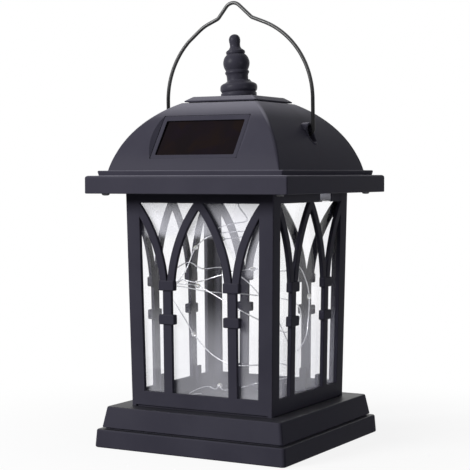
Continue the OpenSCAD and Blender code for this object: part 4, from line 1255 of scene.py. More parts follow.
@dataclass
class Cage:
    """The four traceried walls, which meet in mitres and widen a little towards the eave.

    The fronts are how far rails, mullions and ribs lie behind the wall's face. They differ a little, as
    the ribs do by their layer, so that faces that cross never coincide. A rib runs on into the
    collar, the head rail and the post by the three sizes of rib_into, and is drawn from rib_from
    degrees in steps of rib_step. The collar is given by its width and height, the notch by where it
    starts and ends, and the tongue by its half width and its reach below and above the seat. The
    cut at the foot leaves foot_post at each corner, and starts foot_past before the face and below
    the seat.
    """

    eave: float
    half_top: float
    deck: float = 25.3
    half_low: float = 49.65
    seat: float = 24.3
    foot: float = 26.3
    depth: float = 2.6
    post: float = 9.6
    sill: float = 35.0
    head: float = 152.7
    mullion_at: float = 22.85
    mullion: float = 6.2
    rib: float = 5.0
    rib_offset: float = 2.25
    spring: float = 95.5
    collar: Pair = (11.1, 6.2)
    collar_at: Pair = (101.7, 80.7)
    collar_proud: float = 1.2
    collar_soft: float = 0.7
    collar_corner: float = 0.9
    notch: Pair = (11.5, 28.2)
    edge: float = 0.45
    back_edge: float = 0.25
    post_soft: float = 0.6
    mitre_gap: float = 0.05
    rail_front: float = 0.01
    mullion_front: float = 0.02
    rib_front: float = 0.03
    rib_layer: float = 0.01
    rib_into: Triple = (1.5, 1.8, 2.2)
    rib_from: float = -2.0
    rib_step: float = 0.8
    rib_steps: int = 60
    rail_short: float = 3.2
    mullion_into: float = 4.0
    tongue: Triple = (3.5, 4.2, 4.0)
    tongue_soft: float = 0.3
    foot_post: float = 2.8
    foot_deep: float = 1.6
    foot_past: Pair = (2.0, 5.0)

    def half(self, z: float) -> float:
        """Half of the cage's width at a height."""
        return self.half_low + (z - self.deck) * (self.half_top - self.half_low) / (self.eave - self.deck)

    def at(self, across: float, z: float, depth: float) -> Point:
        """A point of the front wall, given how deep it lies behind the face."""
        return (across, depth - self.half(z), z)

    def bar(self, path: Sequence[Point2], width: float, front: float, back: float | None = None) -> Solid:
        """A bar with softened edges along a path in the front wall.

        Args:
            path: Points of (across, height) along its middle.
            width: Its width in the wall.
            front: How far its front lies behind the wall's face.
            back: How far its back lies behind the face.

        Returns:
            The bar.
        """
        back = self.depth - front if back is None else back
        half = width / 2
        section = rounded(
            [(-half, back), (-half, front), (half, front), (half, back)],
            (self.back_edge, self.edge, self.edge, self.back_edge), 3, closed=True,
        )
        rings = []
        last = len(path) - 1
        for i, (across, z) in enumerate(path):
            along = Vector(path[min(i + 1, last)]) - Vector(path[max(i - 1, 0)])
            along.normalize()
            rings.append([self.at(across - along.y * a, z + along.x * a, d) for a, d in section])
        return Solid.loft(rings)

    def corner_post(self, hand: int) -> Solid:
        """Half of a corner post, mitred, with its outer corner rounded.

        Args:
            hand: 1 for the post on the right, -1 for the left.

        Returns:
            The post.
        """
        soft, gap = self.post_soft, self.mitre_gap
        outline = [(soft - soft * math.cos(a) + gap, soft - soft * math.sin(a))
                   for a in (math.pi / 4 * (1 + k / 4) for k in range(5))]
        outline += rounded(
            [(soft + gap, 0), (self.post, 0), (self.post, self.depth), (self.depth + gap, self.depth)],
            (0, self.edge, self.back_edge, 0), 3,
        )[1:]
        rings = []
        for z in (self.seat, self.eave):
            rings.append([self.at(hand * (self.half(z) - a), z, d) for a, d in outline])
        return Solid.loft(rings)

    def ribs(self, hand: int) -> list[Solid]:
        """Make the two arched ribs that spring from one mullion.

        Args:
            hand: 1 for the mullion on the right, -1 for the left.

        Returns:
            The ribs.
        """
        run = self.mullion_at - self.rib_offset
        rise = self.head - self.spring
        radius = (run * run + rise * rise) / (2 * run)
        into_collar, into_head, into_post = self.rib_into
        made = []
        for lean in (-1, 1):
            middle = self.mullion_at + lean * (self.rib_offset + radius)
            path: list[Point2] = []
            for k in range(self.rib_steps):
                angle = math.radians(k * self.rib_step + self.rib_from)
                across = middle - lean * radius * math.cos(angle)
                z = self.spring + radius * math.sin(angle)
                if z < self.collar_at[0] - into_collar:
                    continue
                if z > self.head + into_head or across > self.half(z) - self.post + into_post:
                    break
                path.append((hand * across, z))
            made.append(self.bar(path, self.rib, self.rib_front + self.rib_layer * (hand + lean + 2)))
        return made

    def collars(self, hand: int) -> list[Solid]:
        """Make the two raised collars on one mullion, with softened edges.

        Args:
            hand: 1 for the mullion on the right, -1 for the left.

        Returns:
            The collars.
        """
        made = []
        x, soft, steps = hand * self.mullion_at, self.collar_soft, 4
        wide, high = (c / 2 for c in self.collar)
        for z in self.collar_at:
            flat = rect_ring(wide, high, 0, self.collar_corner, 3)
            rings = [[self.at(x + a, z + b, self.depth - self.mullion_front) for a, b, _ in flat]]
            for k in range(steps + 1):
                angle = math.pi / 2 * k / steps
                inset = soft * (1 - math.cos(angle))
                depth = -self.collar_proud + soft * (1 - math.sin(angle))
                flat = rect_ring(wide - inset, high - inset, 0, self.collar_corner - inset / 2, 3)
                rings.append([self.at(x + a, z + b, depth) for a, b, _ in flat])
            made.append(Solid.loft(rings))
        return made

    def wall(self, notched: bool) -> list[Solid]:
        """All bars of one wall.

        Args:
            notched: Whether the head rail has the notch for the pane's tab.

        Returns:
            The solids, to be fused.
        """
        reach = self.half_low - self.rail_short
        low, high = (self.seat + self.sill) / 2, (self.eave + self.head) / 2
        solids = [self.corner_post(1), self.corner_post(-1)]
        solids.append(self.bar([(-reach, low), (reach, low)], self.sill - self.seat, self.rail_front))
        spans = [(-reach, reach)] if not notched else [(-reach, self.notch[0]), (self.notch[1], reach)]
        solids += [
            self.bar([(a, high), (b, high)], self.eave - self.head, self.rail_front) for a, b in spans
        ]
        tongue_half, below, above = self.tongue
        tongue_y, inset = -self.half(self.seat), self.rib_front
        for hand in (-1, 1):
            x = hand * self.mullion_at
            upright = [(x, self.sill - self.mullion_into), (x, self.collar_at[0])]
            solids.append(self.bar(upright, self.mullion, self.mullion_front))
            solids += self.ribs(hand) + self.collars(hand)
            solids.append(Solid.block(
                (x - tongue_half, tongue_y + inset, self.seat - below),
                (x + tongue_half, tongue_y + self.depth - inset, self.seat + above), self.tongue_soft, 2,
            ))
        return solids

    def build(self) -> None:
        """Make the four walls, each with a shadow gap along its foot."""
        face = -self.half(self.foot)
        past_face, past_seat = self.foot_past
        reveal = Solid.block(
            (self.foot_post + face, face - past_face, self.seat - past_seat),
            (-self.foot_post - face, face + self.foot_deep, self.foot),
        )
        for side in Side:
            word = side.name.lower()
            solids = [s.turned(side) for s in self.wall(side is Side.RIGHT)]
            made = join_solids(f"tracery_{word}", solids)
            carve(made, [reveal.turned(side)], Cut.REMOVE)
            dress(made, MATERIALS["black"], "cage", (f"{word}_panel",))


# ---------------------------------------------------------------- roof


@dataclass
class RoofShape:
    """Sizes that the roof's pieces share: two crossed barrel vaults over a stepped eave."""

    eave: float
    half: float
    step_in: float = 5.5
    band: float = 11.1
    step: float = 3.1
    ledge: float = 4.8
    drop: float = 13.0
    top: float = 215.1
    wall: float = 2.2
    window: Pair = (180.1, 206.5)
    pivot: float = 195.1

    @property
    def step_z(self) -> float:
        """Height of the step's foot."""
        return self.eave + self.band

    @property
    def dome_z(self) -> float:
        """Height of the dome's foot."""
        return self.step_z + self.step

    @property
    def radius(self) -> float:
        """Radius of the vaults."""
        return math.hypot(self.half - self.step_in - self.ledge, self.drop)

    def dome_half(self, z: float, inset: float = 0.0) -> float:
        """Half of the dome's width at a height."""
        radius = self.radius - inset
        return math.sqrt(max(radius**2 - (z - self.dome_z + self.drop) ** 2, 0.0))

    def at_window(self) -> Matrix:
        """Find where the solar window lies: x across, y up its slope, z outward.

        Returns:
            The matrix that carries flat work onto the slope.
        """
        (z0, z1), (y0, y1) = self.window, (self.dome_half(z) for z in self.window)
        turn = Matrix.Rotation(math.atan2(z1 - z0, y0 - y1), 4, "X")
        return Matrix.Translation((0, -(y0 + y1) / 2, (z0 + z1) / 2)) @ turn

    def window_length(self) -> float:
        """Length of the window up its slope."""
        (z0, z1), (y0, y1) = self.window, (self.dome_half(z) for z in self.window)
        return math.hypot(z1 - z0, y1 - y0)


@dataclass
class BailEye:
    """The oval boss and hollow on each side that a bail pin goes into, and the pin's sleeve."""

    shape: RoofShape
    face: float
    width: float = 7.0
    height: float = 11.0
    lip: float = 1.7
    depth: float = 2.6
    pin_end: float = 44.0
    pin_radius: float = 1.27
    sleeve_radius: float = 3.5
    lip_proud: float = 0.4
    cut_past: float = 6.0
    boss_in: float = 0.02
    sleeve_gap: float = 0.1
    sides: int = 48
    lip_sides: int = 12

    def oval(self, grow: float, x0: float, x1: float) -> Solid:
        """Make a bar of oval section along X.

        Args:
            grow: How far it stands outside the hollow's outline.
            x0: Where it starts.
            x1: Where it ends.

        Returns:
            The closed surface.
        """
        radius, reach = self.width / 2 + grow, (self.height - self.width) / 2
        rings = []
        for x in (x0, x1):
            ring = []
            for k in range(self.sides):
                angle = math.tau * (k + 0.5) / self.sides
                lift = reach if math.sin(angle) > 0 else -reach
                ring.append((x, radius * math.cos(angle), self.shape.pivot + lift + radius * math.sin(angle)))
            rings.append(ring)
        return Solid.loft(rings)

    def along_pin(self, solid: Solid) -> Solid:
        """Turn a lathed solid from upright to the pin's axis."""
        turn = Matrix.Rotation(math.pi / 2, 4, "Y")
        return solid.moved(Matrix.Translation((0, 0, self.shape.pivot)) @ turn)

    def lip_ring(self) -> Solid:
        """Make the raised lip, which leaves the boss and follows the dome below.

        Returns:
            The closed surface.
        """
        half_lip = self.lip / 2
        radius, reach = self.width / 2 + half_lip, (self.height - self.width) / 2
        rings = []
        for k in range(self.sides):
            angle = math.tau * (k + 0.5) / self.sides
            lift = reach if math.sin(angle) > 0 else -reach
            y, z = radius * math.cos(angle), self.shape.pivot + lift + radius * math.sin(angle)
            x = max(self.face - half_lip, self.shape.dome_half(z) - half_lip + self.lip_proud)
            ring = []
            for j in range(self.lip_sides):
                turn = math.tau * j / self.lip_sides
                out = half_lip * math.cos(turn)
                ring.append((
                    x + half_lip * math.sin(turn), y + out * math.cos(angle), z + out * math.sin(angle)
                ))
            rings.append(ring)
        return Solid.loft(rings, loop=True)

    def added(self) -> list[Solid]:
        """Make what the eye adds to the shell.

        Returns:
            The boss, the pin's sleeve and the lip.
        """
        floor = self.face - self.depth
        boss = self.oval(self.lip - self.boss_in, floor - self.shape.wall, self.face - self.lip / 2)
        ends = (self.pin_end, floor - self.sleeve_gap)
        sleeve = Solid.lathe([(self.sleeve_radius, end) for end in ends], 40)
        return [boss, self.along_pin(sleeve), self.lip_ring()]

    def removed(self) -> list[Solid]:
        """Make what the eye cuts out of the shell.

        Returns:
            The hollow and the pin's bore.
        """
        floor = self.face - self.depth
        hollow = self.oval(0, floor, self.face + self.cut_past)
        ends = (self.pin_end - OVERSHOOT, floor + OVERSHOOT)
        bore = Solid.lathe([(self.pin_radius, end) for end in ends], 32)
        return [hollow, self.along_pin(bore)]


@dataclass
class Roof:
    """The roof moulding: eave band, step and dome, hollow inside, with the window's pocket.

    The plan radii are those of the eave band's corners and of the step's. The hip's radius grows by
    hip_grows over the first hip_over rings of the dome. The window's cut flares by the first size
    of flare at the height of the second. The post is given by its radius and how high its foot
    stands, and the lead slot by its half width and half height.
    """

    shape: RoofShape
    eye: BailEye
    plan_radii: Pair = (1.0, 0.9)
    step_lean: float = 0.7
    hip: float = 0.9
    hip_grows: float = 1.1
    hip_over: int = 8
    dome_steps: int = 40
    hollow_steps: int = 24
    hollow_corner: float = 2.6
    foot_chamfer: float = 0.35
    screw_at: float = 61.0
    post: Pair = (3.6, 2.2)
    bezel: Pair = (60.8, 2.5)
    bezel_gap: float = 0.15
    flare: Pair = (12.0, 8.9)
    lead_slot: Pair = (4.0, 2.0)
    screw_hole: float = 1.65

    def outside(self) -> Solid:
        """Make the outer form.

        Returns:
            The closed surface.
        """
        s = self.shape
        inner = s.half - s.step_in
        corners = [
            (s.half, s.eave), (s.half, s.step_z), (inner - self.step_lean, s.step_z),
            (inner, s.dome_z), (s.dome_half(s.dome_z), s.dome_z),
        ]
        profile = rounded(corners, (0, 1.6, 0.2, 0.7, 0), 5)
        profile[0:1] = [(s.half - self.foot_chamfer, s.eave), (s.half, s.eave + self.foot_chamfer)]
        band_radius, step_radius = self.plan_radii
        rings = []
        for half, z in profile:
            on_band = z < s.step_z + 0.05 and half > inner + 0.5
            rings.append(rect_ring(half, half, z, band_radius if on_band else step_radius))
        top = math.asin((s.top - s.dome_z + s.drop) / s.radius)
        low = math.asin(s.drop / s.radius)
        for k in range(1, self.dome_steps + 1):
            angle = low + (top - low) * k / self.dome_steps
            half, z = s.radius * math.cos(angle), s.dome_z - s.drop + s.radius * math.sin(angle)
            rings.append(rect_ring(half, half, z, self.hip + self.hip_grows * min(k / self.hip_over, 1)))
        return Solid.loft(rings)

    def hollow(self) -> list[Solid]:
        """Make the space inside.

        Returns:
            The eave's block and the dome's cavity.
        """
        s = self.shape
        half = s.half - s.wall
        ceiling = s.step_z - s.wall
        block = Solid.block((-half, -half, s.eave - 2 * OVERSHOOT), (half, half, ceiling))
        rings = []
        for k in range(self.hollow_steps + 1):
            turn = math.pi / 2 * k / self.hollow_steps
            z = ceiling - OVERSHOOT + (s.top - s.wall - ceiling + OVERSHOOT) * math.sin(turn)
            half = s.dome_half(max(z, s.dome_z - s.drop), s.wall)
            rings.append(rect_ring(half, half, z, self.hollow_corner))
        return [block, Solid.loft(rings)]

    def corners(self) -> tuple[Point2, ...]:
        """Where the four corner screws stand."""
        return tuple((x, y) for x in (-self.screw_at, self.screw_at) for y in (-self.screw_at, self.screw_at))

    def build(self) -> None:
        """Make the roof shell."""
        s = self.shape
        wide, deep = self.bezel
        half_w, half_l = wide / 2, s.window_length() / 2
        place = s.at_window()
        outer = self.outside()
        pocket = mesh_object("pocket", Solid.block(
            (-half_w - s.wall, -half_l - s.wall, -deep - s.wall),
            (half_w + s.wall, half_l + s.wall, 2 * s.wall),
        ).moved(place))
        carve(pocket, [outer], Cut.KEEP_COMMON)
        shell = mesh_object("domed_roof", outer)
        carve(shell, self.hollow(), Cut.REMOVE)
        radius, foot = self.post
        post = Solid.lathe([(radius, s.eave + foot), (radius, s.step_z - s.wall / 2)], 32)
        posts = [post.moved(Matrix.Translation((x, y, 0))) for x, y in self.corners()]
        half_turn = Matrix.Rotation(math.pi, 4, "Z")
        added, removed = self.eye.added(), self.eye.removed()
        carve(shell, [pocket, *posts, *added, *(a.moved(half_turn) for a in added)], Cut.ADD)
        gap, (slot_x, slot_y) = self.bezel_gap, self.lead_slot
        window = Solid.loft([
            rect_ring(half_w + gap + grow, half_l + gap, z, 0.1, 1)
            for grow, z in ((0, -deep), (0, 0.1), self.flare)
        ])
        slot = Solid.block(
            (-slot_x, -slot_y, -deep - s.wall - OVERSHOOT), (slot_x, slot_y, -deep + OVERSHOOT)
        )
        ends = (s.top - s.wall - OVERSHOOT, s.top + OVERSHOOT)
        screw = Solid.lathe([(self.screw_hole, end) for end in ends], 32)
        cuts = [window.moved(place), slot.moved(place), screw]
        carve(shell, [*cuts, *removed, *(r.moved(half_turn) for r in removed)], Cut.REMOVE)
        dress(shell, MATERIALS["roof"], "roof", ("roof_shell",))


@dataclass
class Crown:
    """The square cap plate on the dome, and the turned finial on it.

    The foot leans with foot_lean and the stem with lean, in degrees. The stem starts at stem_at,
    across and above the cap.
    """

    cap_half: float
    cap_top: float
    dome_top: float
    neck: float = 23.5
    neck_high: float = 0.6
    rim: float = 0.75
    slope: float = 4.0
    stem_at: Point2 = (-0.7, 10.0)
    lean: float = 5.0
    foot_lean: float = 3.2
    stem_scale: float = 0.975
    foot: tuple[Point2, ...] = (
        (10.6, 0), (11.2, 0.35), (11.45, 1.2), (11.45, 2.2), (11.3, 2.85), (10.85, 3.15), (10.75, 3.4),
        (11.15, 3.75), (11.55, 4.3), (11.8, 5.2), (11.8, 6.6), (11.6, 7.5), (11.1, 8.2), (10.4, 8.7),
        (9.5, 9.1), (8.5, 9.55), (7.7, 10.2), (7.2, 11.0),
    )
    stem: tuple[Point2, ...] = (
        (6.9, -2.6), (6.85, 0.6), (6.8, 2.0), (6.85, 3.6), (7.05, 4.7), (7.45, 5.2), (7.68, 5.7),
        (7.68, 6.4), (7.4, 6.9), (7.1, 7.3), (7.15, 7.6), (7.5, 8.3), (8.0, 9.5), (8.35, 10.9),
        (8.45, 12.2), (8.3, 13.6), (7.85, 15.1), (7.2, 16.4), (6.3, 17.45), (5.6, 18.0), (5.6, 18.15),
        (5.9, 18.3), (6.05, 18.6), (6.05, 19.7), (5.85, 20.1), (5.2, 20.6), (4.4, 21.2), (3.75, 21.9),
        (3.38, 22.8), (3.25, 23.7), (3.35, 24.8), (3.55, 26.0), (3.66, 27.1), (3.55, 28.3), (3.15, 29.4),
        (2.5, 30.2), (1.7, 30.75), (0.8, 31.05), (0.1, 31.1),
    )

    def build(self) -> None:
        """Make the cap plate and the finial."""
        low = self.dome_top + self.neck_high
        corners = [
            (self.neck, self.dome_top - 0.02), (self.neck, low), (self.cap_half, low),
            (self.cap_half, low + self.rim), (self.cap_half - self.slope, self.cap_top),
            (1.0, self.cap_top),
        ]
        profile = rounded(corners, (0, 0, 0.25, 0.35, 1.2, 0), 4)
        rings = [rect_ring(half, half, z, 1.5 if half > 15 else 0.5) for half, z in profile]
        cap = mesh_object("cap_square", Solid.loft(rings))
        dress(cap, MATERIALS["roof"], "roof", ("cap_plate",))
        rise = math.tan(math.radians(self.foot_lean))
        foot = Solid.lathe(self.foot)
        foot.points = [(x, y, self.cap_top + z + x * rise * min(z / 2, 1)) for x, y, z in foot.points]
        tilt = Matrix.Rotation(math.radians(-self.lean), 4, "Y")
        lift = Matrix.Translation((self.stem_at[0], 0, self.cap_top + self.stem_at[1]))
        stem = Solid.lathe([(r, z * self.stem_scale) for r, z in self.stem]).moved(lift @ tilt)
        finial = join_solids("turned_finial", [foot, stem])
        dress(finial, TURNED_PLASTIC.material(), "roof", ("finial",), angle=50)


@dataclass
class SolarWindow:
    """The bezel round the solar cell, whose opening lies a little lower than its middle."""

    shape: RoofShape
    width: float = 60.8
    side: float = 2.9
    end: float = 3.6
    thick: float = 2.5
    lip: float = 0.5
    overlap: float = 0.9
    gap: float = 0.15
    drop: float = 0.5

    def build(self) -> None:
        """Make the bezel, whose lip holds the cell down."""
        half_w, half_l = self.width / 2, self.shape.window_length() / 2
        open_w, open_l = half_w - self.side, half_l - self.end
        slack = self.overlap + self.gap
        rings = []
        for grow, z, radius in (
            (0.0, -self.thick, 0.6), (0.0, -0.5, 0.9), (-0.15, -0.15, 1.0), (-0.5, 0.0, 1.2),
        ):
            rings.append(rect_ring(half_w + grow, half_l + grow, z, radius))
        for grow, z, radius in (
            (0.4, 0.0, 1.2), (0.12, -0.08, 1.0), (0.0, -0.3, 0.9), (0.0, -self.lip, 0.9),
            (slack, -self.lip, 0.6), (slack, -self.thick, 0.6),
        ):
            ring = rect_ring(open_w + grow, open_l + self.drop + grow, z, radius)
            rings.append([(x, y - self.drop, height) for x, y, height in ring])
        bezel = mesh_object("window_bezel", Solid.loft(rings, loop=True).moved(self.shape.at_window()))
        dress(bezel, MATERIALS["roof"], "roof", ("solar_bezel",))


@dataclass
class Bail:
    """The bent wire handle with its hanging bump; each leg ends in a pin.

    The bump is drawn from its right foot over its peak to its left foot, and joins the handle's round
    at the two sizes of joins, beyond its feet. The wire is sheared by lean to one side. The left of
    the handle stands higher by high, and the right foot by flat.
    """

    out: float
    pivot: float
    wire: float = 1.2
    leg: float = 22.05
    bend: float = 3.0
    pin: float = 5.2
    peak: Point2 = (-3.6, 12.4)
    feet: Pair = (-14.0, 10.4)
    peak_radius: float = 6.6
    foot_radius: float = 5.0
    lean: float = 0.014
    high: float = 0.7
    flat: float = 0.8
    joins: Pair = (9.0, 22.0)
    shoulder: float = 11.0
    shoulder_radius: float = 30.0
    swell: Pair = (1.1, 0.9)
    sides: int = 20

    def path(self) -> list[Point2]:
        """Draw the middle of the wire.

        Returns:
            Points of (x, z) from one pin over the top to the other.
        """
        join_right, join_left = self.joins
        out, top, foot = self.out, self.pivot + self.leg, self.pivot + self.bend
        left, right = self.feet
        waist = left - self.shoulder
        corners = [
            (right + join_right, top + math.sqrt(out**2 - (right + join_right) ** 2)),
            (right, top + math.sqrt(out**2 - right**2) + self.flat),
            (self.peak[0], top + out + self.peak[1]),
            (left, top + math.sqrt(out**2 - left**2) + self.swell[0] + self.high),
            (waist, top + math.sqrt(out**2 - waist**2) + self.swell[1] + self.high),
            (left - join_left, top + math.sqrt(out**2 - (left - join_left) ** 2) + self.high),
        ]
        radii = (0, self.foot_radius, self.peak_radius, self.foot_radius, self.shoulder_radius, 0)
        hook = rounded(corners, radii, 12)
        first = math.degrees(math.acos((right + join_right + 1) / out))
        last = math.degrees(math.acos((left - join_left - 1) / out))
        points = [(out - self.bend - self.pin, self.pivot)]
        points += arc((out - self.bend, foot), self.bend, -90, 0, 8)
        points += arc((0, top), out, 0, first, 36) + hook + arc((0, top + self.high), out, last, 180, 30)
        points += arc((-out + self.bend, foot), self.bend, 180, 270, 8)
        return points + [(-out + self.bend + self.pin, self.pivot)]

    def build(self) -> None:
        """Make the handle."""
        path = [Vector((x - self.lean * (z - self.pivot), 0, z)) for x, z in self.path()]
        handle = mesh_object("wire_bail", Solid.tube(path, self.wire, self.sides))
        dress(handle, BAIL_LACQUER.material(), "bail", ("bail_handle",), angle=60)


# ---------------------------------------------------------------- underside


@dataclass
class PanScrews:
    """Pan-head screws with a cross recess, driven upward.

    The head is given by its radius and height, and the shank by its radius and length. The shape's
    other sizes are shares of these.
    """

    name: str
    node: str
    places: tuple[Point2, ...]
    seat: float
    head: Pair
    shank: Pair

    def build(self) -> None:
        """Make the screws."""
        radius, high = self.head
        thin, long = self.shank
        profile = [
            (thin * 0.6, long), (thin, long - thin), (thin, 0.3), (radius, 0), (radius, -high * 0.35),
            (radius * 0.82, -high * 0.8), (radius * 0.45, -high), (0.1, -high),
        ]
        shape = Solid.lathe([(r, self.seat + z) for r, z in reversed(profile)], 32)
        slot = radius * 0.16
        cross = [
            Solid.block((-a, -b, self.seat - high - OVERSHOOT), (a, b, self.seat - high * 0.35))
            for a, b in ((radius * 0.6, slot), (slot, radius * 0.6))
        ]
        one = mesh_object(self.name, shape)
        carve(one, cross, Cut.REMOVE)
        base = one.data
        work = bmesh.new()
        for x, y in self.places:
            copy = base.copy()
            copy.transform(Matrix.Translation((x * MM, y * MM, 0)))
            work.from_mesh(copy)
            bpy.data.meshes.remove(copy)
        work.to_mesh(base)
        work.free()
        dress(one, MATERIALS["screw"], "roof", (self.node,))


MATERIALS: dict[str, bpy.types.Material] = {}


def carried_finishes() -> dict[str, MouldedFinish | MetalFinish | ClearFinish | CellFinish]:
    """Choose a finish for each CAD node that is shown as it is.

    Returns:
        The finishes by node.
    """
    return {
        "front_pane": FRONT_PANE, "right_pane": RIGHT_PANE, "back_pane": CLEAR_PANE, "left_pane": CLEAR_PANE,
        "ceiling_plate": PLATE_PLASTIC, "battery_cover": PLATE_PLASTIC, "battery_holder": PLATE_PLASTIC,
        "battery_cell": CELL_WRAP, "contact_spring": CONTACT_METAL, "contact_plates": CONTACT_METAL,
        "switch_housing": PLATE_PLASTIC, "switch_slider": KNOB_PLASTIC, "circuit_board": BOARD_MASK,
        "board_screws": SCREW_STEEL, "finial_screw": SCREW_STEEL, "battery_cover_screw": SCREW_STEEL,
        "controller_chip": CHIP_PLASTIC, "inductor": INDUCTOR_DIP, "panel_leads": RED_LEAD,
        "battery_leads": BLACK_LEAD,
        "switch_leads": GREY_LEAD, "string_lead": STRING_WIRE, "string_grommet": GROMMET_RUBBER,
        "solar_resin": WINDOW_RESIN, "solar_silicon": SILICON, "solar_backing": BOARD_MASK,
    }


def dress_carried_nodes() -> None:
    """Give every CAD node that stays visible its own finish."""
    made: dict[str, bpy.types.Material] = {}
    for node, finish in carried_finishes().items():
        if finish.name not in made:
            made[finish.name] = finish.material()
        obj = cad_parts[node]
        obj.data.materials.clear()
        obj.data.materials.append(made[finish.name])
        LOG.info("%s: %s", node, finish.name)


# ---------------------------------------------------------------- studio


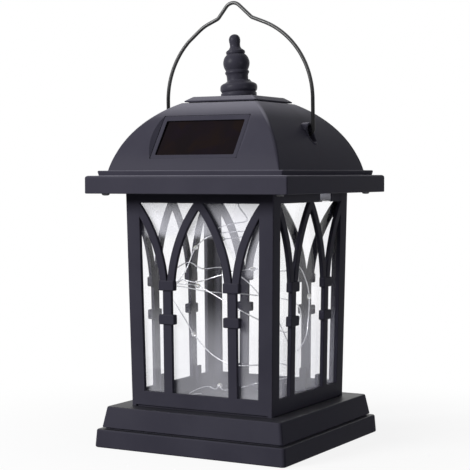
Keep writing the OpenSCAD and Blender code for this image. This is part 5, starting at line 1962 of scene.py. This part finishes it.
@dataclass
class Studio:
    """Camera, soft lamps, pale floor and white surroundings.

    The camera stands at camera_at, in millimetres, and its angles are in degrees. The lamps face aim,
    in metres. The floor glows white where it is seen, by the shares of floor_glow, which grow over the
    distances of floor_near from the middle, in metres.
    """

    camera_at: Point = (434.4, -780.5, 170.6)
    yaw: float = 29.27
    pitch: float = 2.51
    roll: float = -0.14
    lens: float = 107.06
    sensor: float = 36.0
    clip: Pair = (0.01, 50.0)
    aim: Point = (0, 0, 0.13)
    ambient: float = 0.055
    ambient_tint: Colour = (0.94, 0.95, 1.0)
    floor_reach: float = 6.0
    floor_paint: Colour = (0.12, 0.12, 0.12)
    floor_near: Pair = (0.08, 0.3)
    floor_glow: Pair = (0.88, 1.0)

    def camera(self) -> None:
        """Place the camera."""
        yaw, pitch, roll = (math.radians(a) for a in (self.yaw, self.pitch, self.roll))
        back = Vector((
            math.sin(yaw) * math.cos(pitch), -math.cos(yaw) * math.cos(pitch), math.sin(pitch)
        ))
        right = Vector((math.cos(yaw), math.sin(yaw), 0))
        up = back.cross(right)
        right, up = (
            right * math.cos(roll) + up * math.sin(roll),
            up * math.cos(roll) - right * math.sin(roll),
        )
        data = bpy.data.cameras.new("camera")
        data.lens, data.sensor_width = self.lens, self.sensor
        data.clip_start, data.clip_end = self.clip
        made = bpy.data.objects.new("camera", data)
        turn = Matrix((right, up, back)).transposed().to_4x4()
        made.matrix_world = Matrix.Translation(Vector(self.camera_at) * MM) @ turn
        bpy.context.scene.collection.objects.link(made)
        bpy.context.scene.camera = made

    def lamp(
        self, name: str, at: Point, size: float, watts: float, tint: Colour = (1, 1, 1)
    ) -> None:
        """Hang a square soft lamp that faces the lantern.

        Args:
            name: Its name.
            at: Where it hangs, in metres.
            size: Side of the lamp in metres.
            watts: Its power.
            tint: Its colour.
        """
        data = bpy.data.lights.new(name, "AREA")
        data.shape, data.size, data.energy, data.color = "SQUARE", size, watts, tint
        made = bpy.data.objects.new(name, data)
        made.location = at
        made.rotation_euler = (Vector(self.aim) - Vector(at)).to_track_quat("-Z", "Y").to_euler()
        bpy.context.scene.collection.objects.link(made)

    def lamps(self) -> None:
        """Hang the key from the upper left, a top lamp and a weak fill."""
        self.lamp("key", at=(-0.8, -1.3, 0.75), size=0.6, watts=31.0)
        self.lamp("top", at=(0, 0, 1.25), size=0.4, watts=1.2, tint=(0.93, 0.93, 1.0))
        self.lamp("fill", at=(1.2, -0.5, 0.2), size=0.35, watts=2.6, tint=(0.92, 0.93, 1.0))

    def white_where_seen(self, n: Nodes) -> bpy.types.NodeSocket:
        """Tell rays that show the background from rays that light the object.

        Args:
            n: The node maker of the world or of a material.

        Returns:
            A socket that is one for the first and zero for the others.
        """
        rays = n.add("LightPath")
        seen = n.math("MAXIMUM", rays.outputs["Is Camera Ray"], rays.outputs["Is Glossy Ray"])
        return n.math("MAXIMUM", seen, rays.outputs["Is Transmission Ray"])

    def world(self) -> None:
        """Make the world: white where it is seen, weak for the light that it gives."""
        world = bpy.data.worlds.new("studio_white")
        world.use_nodes = True
        world.node_tree.nodes.clear()
        n = Nodes(world.node_tree)
        light = n.add("Background", {"Color": (*self.ambient_tint, 1), "Strength": self.ambient})
        shown = n.add("Background", {"Color": WHITE, "Strength": 1.0})
        pick = n.add("MixShader", {0: self.white_where_seen(n), 1: light.outputs[0], 2: shown.outputs[0]})
        n.add("OutputWorld", {0: pick.outputs[0]})
        bpy.context.scene.world = world

    def floor(self) -> None:
        """Make the floor: white where it is seen, with the lantern's shadow, and plain otherwise."""
        mesh = bpy.data.meshes.new("floor")
        reach = self.floor_reach
        corners = [(x * reach, y * reach, 0) for x, y in ((-1, -1), (1, -1), (1, 1), (-1, 1))]
        mesh.from_pydata(corners, [], [(0, 1, 2, 3)])
        floor = bpy.data.objects.new("floor", mesh)
        bpy.context.scene.collection.objects.link(floor)
        material = bpy.data.materials.new("pale_floor")
        material.use_nodes = True
        material.node_tree.nodes.clear()
        n = Nodes(material.node_tree)
        seen = self.white_where_seen(n)
        at = n.add("TexCoord").outputs["Object"]
        away = n.add("VectorMath", {0: at}, operation="LENGTH").outputs["Value"]
        paint = n.add("BsdfDiffuse", {"Color": n.mix(seen, (*self.floor_paint, 1), WHITE)})
        glow = n.add("Emission", {"Color": WHITE, "Strength": 1.0})
        share = n.math("MULTIPLY", seen, n.spread(away, *self.floor_near, *self.floor_glow))
        pick = n.add("MixShader", {0: share, 1: paint.outputs[0], 2: glow.outputs[0]})
        n.add("OutputMaterial", {0: pick.outputs[0]})
        mesh.materials.append(material)

    def look(self) -> None:
        """Set the plain view transform."""
        bpy.context.scene.view_settings.view_transform = "Standard"


@dataclass(frozen=True)
class Proud:
    """How much further than the CAD model each outline stands, per side, in millimetres."""

    base: float = 0.4
    cage: float = 0.4
    eave: float = 0.5
    bail: float = 0.35


def main() -> None:
    """Build the studio and the lantern, from the camera and the cord to the small fittings."""
    logging.basicConfig(level=logging.INFO, format="%(name)s: %(message)s")
    studio = Studio()
    studio.camera()
    LightString().build()
    MATERIALS["black"] = BLACK_PLASTIC.material()
    MATERIALS["roof"] = ROOF_PLASTIC.material()
    MATERIALS["screw"] = BLACK_SCREW.material()
    panel_high = mm_box("front_panel")[1]
    roof_low, roof_high = mm_box("roof_shell")
    cap_low, cap_high = mm_box("cap_plate")
    bail_high = mm_box("bail_handle")[1]
    proud = Proud()
    Base(half=mm_box("base_shell")[1].x + proud.base).build()
    Cage(eave=panel_high.z, half_top=panel_high.x + proud.cage).build()
    shape = RoofShape(eave=roof_low.z, half=roof_high.x + proud.eave, top=cap_low.z)
    bail_out = bail_high.x - Bail.wire
    eye_gap = 0.4
    eye = BailEye(shape, face=bail_out - Bail.wire - eye_gap, pin_end=bail_out - (Bail.bend + Bail.pin))
    roof = Roof(shape, eye)
    roof.build()
    Crown(cap_half=cap_high.x, cap_top=cap_high.z, dome_top=cap_low.z).build()
    SolarWindow(shape).build()
    Bail(out=bail_out + proud.bail, pivot=shape.pivot).build()
    PanScrews(
        "eave_screws", "ceiling_screws", roof.corners(), seat=shape.eave, head=(2.5, 1.3), shank=(1.5, 7.5)
    ).build()
    dress_carried_nodes()
    studio.world()
    studio.floor()
    studio.lamps()
    studio.look()


if __name__ == "__main__":
    main()
